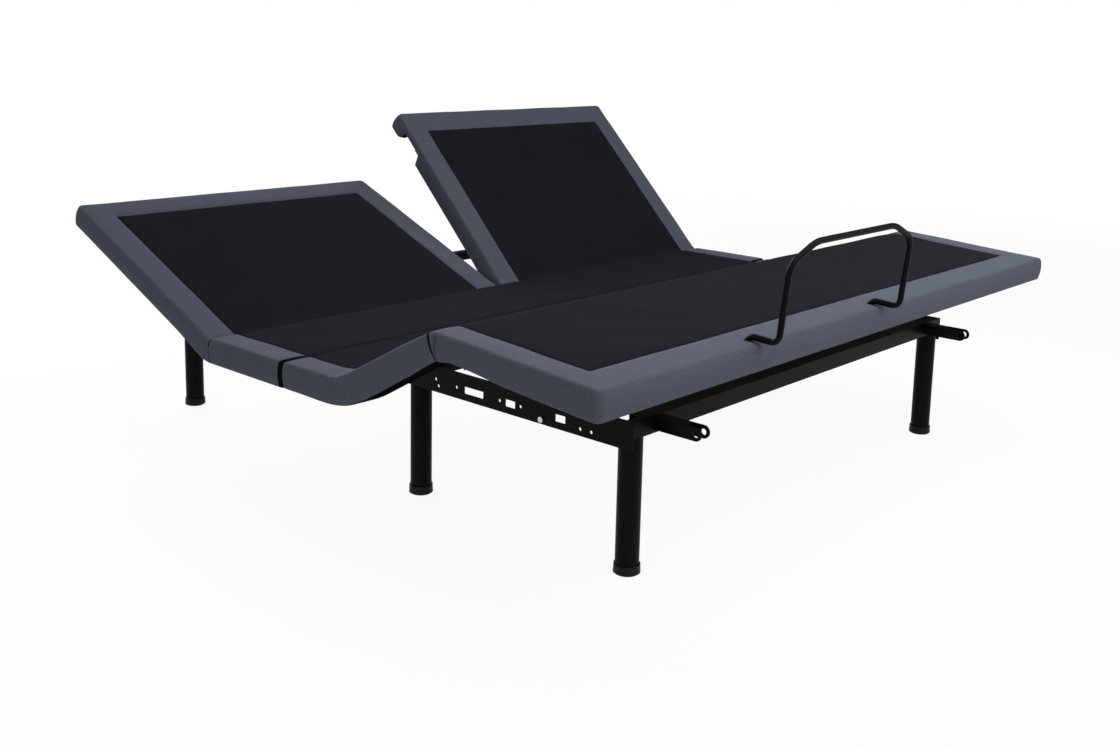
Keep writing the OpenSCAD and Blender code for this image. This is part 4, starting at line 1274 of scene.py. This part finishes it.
class BED_OT_stage(bpy.types.Operator):
    """Makes the floor, the soft light and the camera."""

    bl_idname = "bed.stage"
    bl_label = "Studio"

    def execute(self, context):
        scene = context.scene
        scene.view_settings.view_transform = "Standard"
        self.floor()
        self.world(scene)
        studio = scene.bed_studio
        middle = (0.0, 0.0, 0.4)
        self.softbox("overhead", (0.3, -1.5, 2.3), middle, 3.2, studio.key_power)
        self.softbox("head", (0.6, 4.6, 2.6), middle, 3.6, studio.head_power)
        self.softbox("front", (-0.5, -3.4, 1.5), middle, 2.2, studio.fill_power)
        self.softbox("side", (-4.2, -0.6, 1.6), middle, 2.2, studio.side_power)
        self.camera(scene)
        return {"FINISHED"}

    def floor(self):
        """A wide pale floor that shows itself as near white and still takes a faint shadow."""
        size = 40.0
        mesh = bpy.data.meshes.new("floor")
        corners = [(-size, -size, 0), (size, -size, 0), (size, size, 0), (-size, size, 0)]
        mesh.from_pydata(corners, [], [(0, 1, 2, 3)])
        floor = bpy.data.objects.new("floor", mesh)
        bpy.context.scene.collection.objects.link(floor)
        finish = Finish("floor")
        finish.set(Base_Color=(0.8, 0.8, 0.8, 1.0), Roughness=0.9)
        path = finish.node("ShaderNodeLightPath")
        glow = finish.node("ShaderNodeEmission", Color=(1.0, 1.0, 1.0, 1.0), Strength=1.0)
        seen = (
            Value(finish, path.outputs["Is Camera Ray"])
            + Value(finish, path.outputs["Is Glossy Ray"])
            + Value(finish, path.outputs["Is Transmission Ray"])
        )
        parts = finish.node("ShaderNodeSeparateXYZ", Vector=finish.place())
        across, along = Value(finish, parts.outputs["X"]), Value(finish, parts.outputs["Y"])
        away = finish.node(
            "ShaderNodeMapRange",
            {"interpolation_type": "SMOOTHSTEP"},
            Value=across * across + along * along,
            From_Min=4.0,
            From_Max=36.0,
            To_Min=0.93,
            To_Max=1.0,
        ).outputs["Result"]
        mix = finish.node("ShaderNodeMixShader", Fac=seen * Value(finish, away))
        finish.feed(mix.inputs[1], finish.shader.outputs[0])
        finish.feed(mix.inputs[2], glow.outputs[0])
        finish.feed(finish.tree.nodes["Material Output"].inputs["Surface"], mix.outputs[0])
        mesh.materials.append(finish.material)
        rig.stage(floor)

    def world(self, scene):
        """Even room light; what camera and gloss see is white."""
        world = bpy.data.worlds.new("room")
        scene.world = world
        world.use_nodes = True
        tree = world.node_tree
        tree.nodes.clear()
        out = tree.nodes.new("ShaderNodeOutputWorld")
        room = tree.nodes.new("ShaderNodeBackground")
        room.inputs["Strength"].default_value = scene.bed_studio.ambient
        room.inputs["Color"].default_value = (0.97, 0.98, 1.0, 1.0)
        white = tree.nodes.new("ShaderNodeBackground")
        white.inputs["Color"].default_value = (1.0, 1.0, 1.0, 1.0)
        path = tree.nodes.new("ShaderNodeLightPath")
        mix = tree.nodes.new("ShaderNodeMixShader")
        tree.links.new(path.outputs["Is Camera Ray"], mix.inputs["Fac"])
        tree.links.new(room.outputs[0], mix.inputs[1])
        tree.links.new(white.outputs[0], mix.inputs[2])
        tree.links.new(mix.outputs[0], out.inputs["Surface"])

    def softbox(self, name, place, target, size, power):
        """A square area light that faces the target."""
        data = bpy.data.lights.new(name, "AREA")
        data.shape, data.size, data.energy = "SQUARE", size, power
        lamp = bpy.data.objects.new(name, data)
        bpy.context.scene.collection.objects.link(lamp)
        lamp.location = place
        aim = Vector(target) - Vector(place)
        lamp.rotation_mode = "QUATERNION"
        lamp.rotation_quaternion = aim.to_track_quat("-Z", "Y")

    def camera(self, scene):
        """A camera off the left foot corner, 1.1 m up, looking along the bed's diagonal."""
        yaw, pitch, roll = 0.73373, 0.17183, -0.02226
        # Focal length as a share of the sensor's width
        focal, sensor = 1.1024, 36.0
        beside, before_hip, height = 2.5963, 2.1028, 1.1117
        data = bpy.data.cameras.new("camera")
        data.sensor_fit, data.sensor_width = "HORIZONTAL", sensor
        data.lens = focal * sensor
        data.shift_y = -0.1103
        data.clip_start, data.clip_end = 0.05, 200.0
        camera = bpy.data.objects.new("camera", data)
        scene.collection.objects.link(camera)
        ahead = math.cos(pitch)
        forward = Vector((math.cos(yaw) * ahead, math.sin(yaw) * ahead, -math.sin(pitch)))
        right = Vector((math.sin(yaw), -math.cos(yaw), 0.0))
        down = forward.cross(right)
        level = math.cos(roll) * right + math.sin(roll) * down
        drop = -math.sin(roll) * right + math.cos(roll) * down
        turn = Matrix((level, -drop, -forward)).transposed()
        place = Matrix.Translation((-beside, HIP[0] - before_hip, height))
        camera.matrix_world = place @ turn.to_4x4()
        scene.camera = camera


class BED_PT_panel(bpy.types.Panel):
    """Lists the pieces of the bed base and their settings."""

    bl_label = "Bed Base"
    bl_idname = "BED_PT_panel"
    bl_space_type = "VIEW_3D"
    bl_region_type = "UI"
    bl_category = "Bed Base"

    def draw(self, context):
        layout = self.layout
        for operator in OPERATORS:
            layout.operator(operator.bl_idname)
        for group in ("bed_covers", "bed_colours", "bed_studio"):
            settings = getattr(context.scene, group)
            for name in type(settings).__annotations__:
                layout.prop(settings, name)


GROUPS = {
    "bed_covers": BedCoverSettings,
    "bed_colours": BedColourSettings,
    "bed_studio": BedStudioSettings,
}
OPERATORS = (BED_OT_finishes, BED_OT_backs, BED_OT_seat, BED_OT_foot, BED_OT_stage)


def register():
    for group in (*GROUPS.values(), *OPERATORS, BED_PT_panel):
        bpy.utils.register_class(group)
    for name, group in GROUPS.items():
        setattr(bpy.types.Scene, name, PointerProperty(type=group))


def unregister():
    for name in GROUPS:
        delattr(bpy.types.Scene, name)
    for group in (BED_PT_panel, *reversed(OPERATORS), *GROUPS.values()):
        bpy.utils.unregister_class(group)


def main():
    """Registers the classes, makes every piece and writes the sizes."""
    register()
    bpy.ops.bed.finishes()
    bpy.ops.bed.backs()
    bpy.ops.bed.seat()
    bpy.ops.bed.foot()
    bpy.ops.bed.stage()
    sizes = {"cad": CAD_BOX, "visual": [list(corner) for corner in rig.bounds()]}
    with open("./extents.json", "w") as out:
        json.dump(sizes, out)


if __name__ == "__main__":
    main()
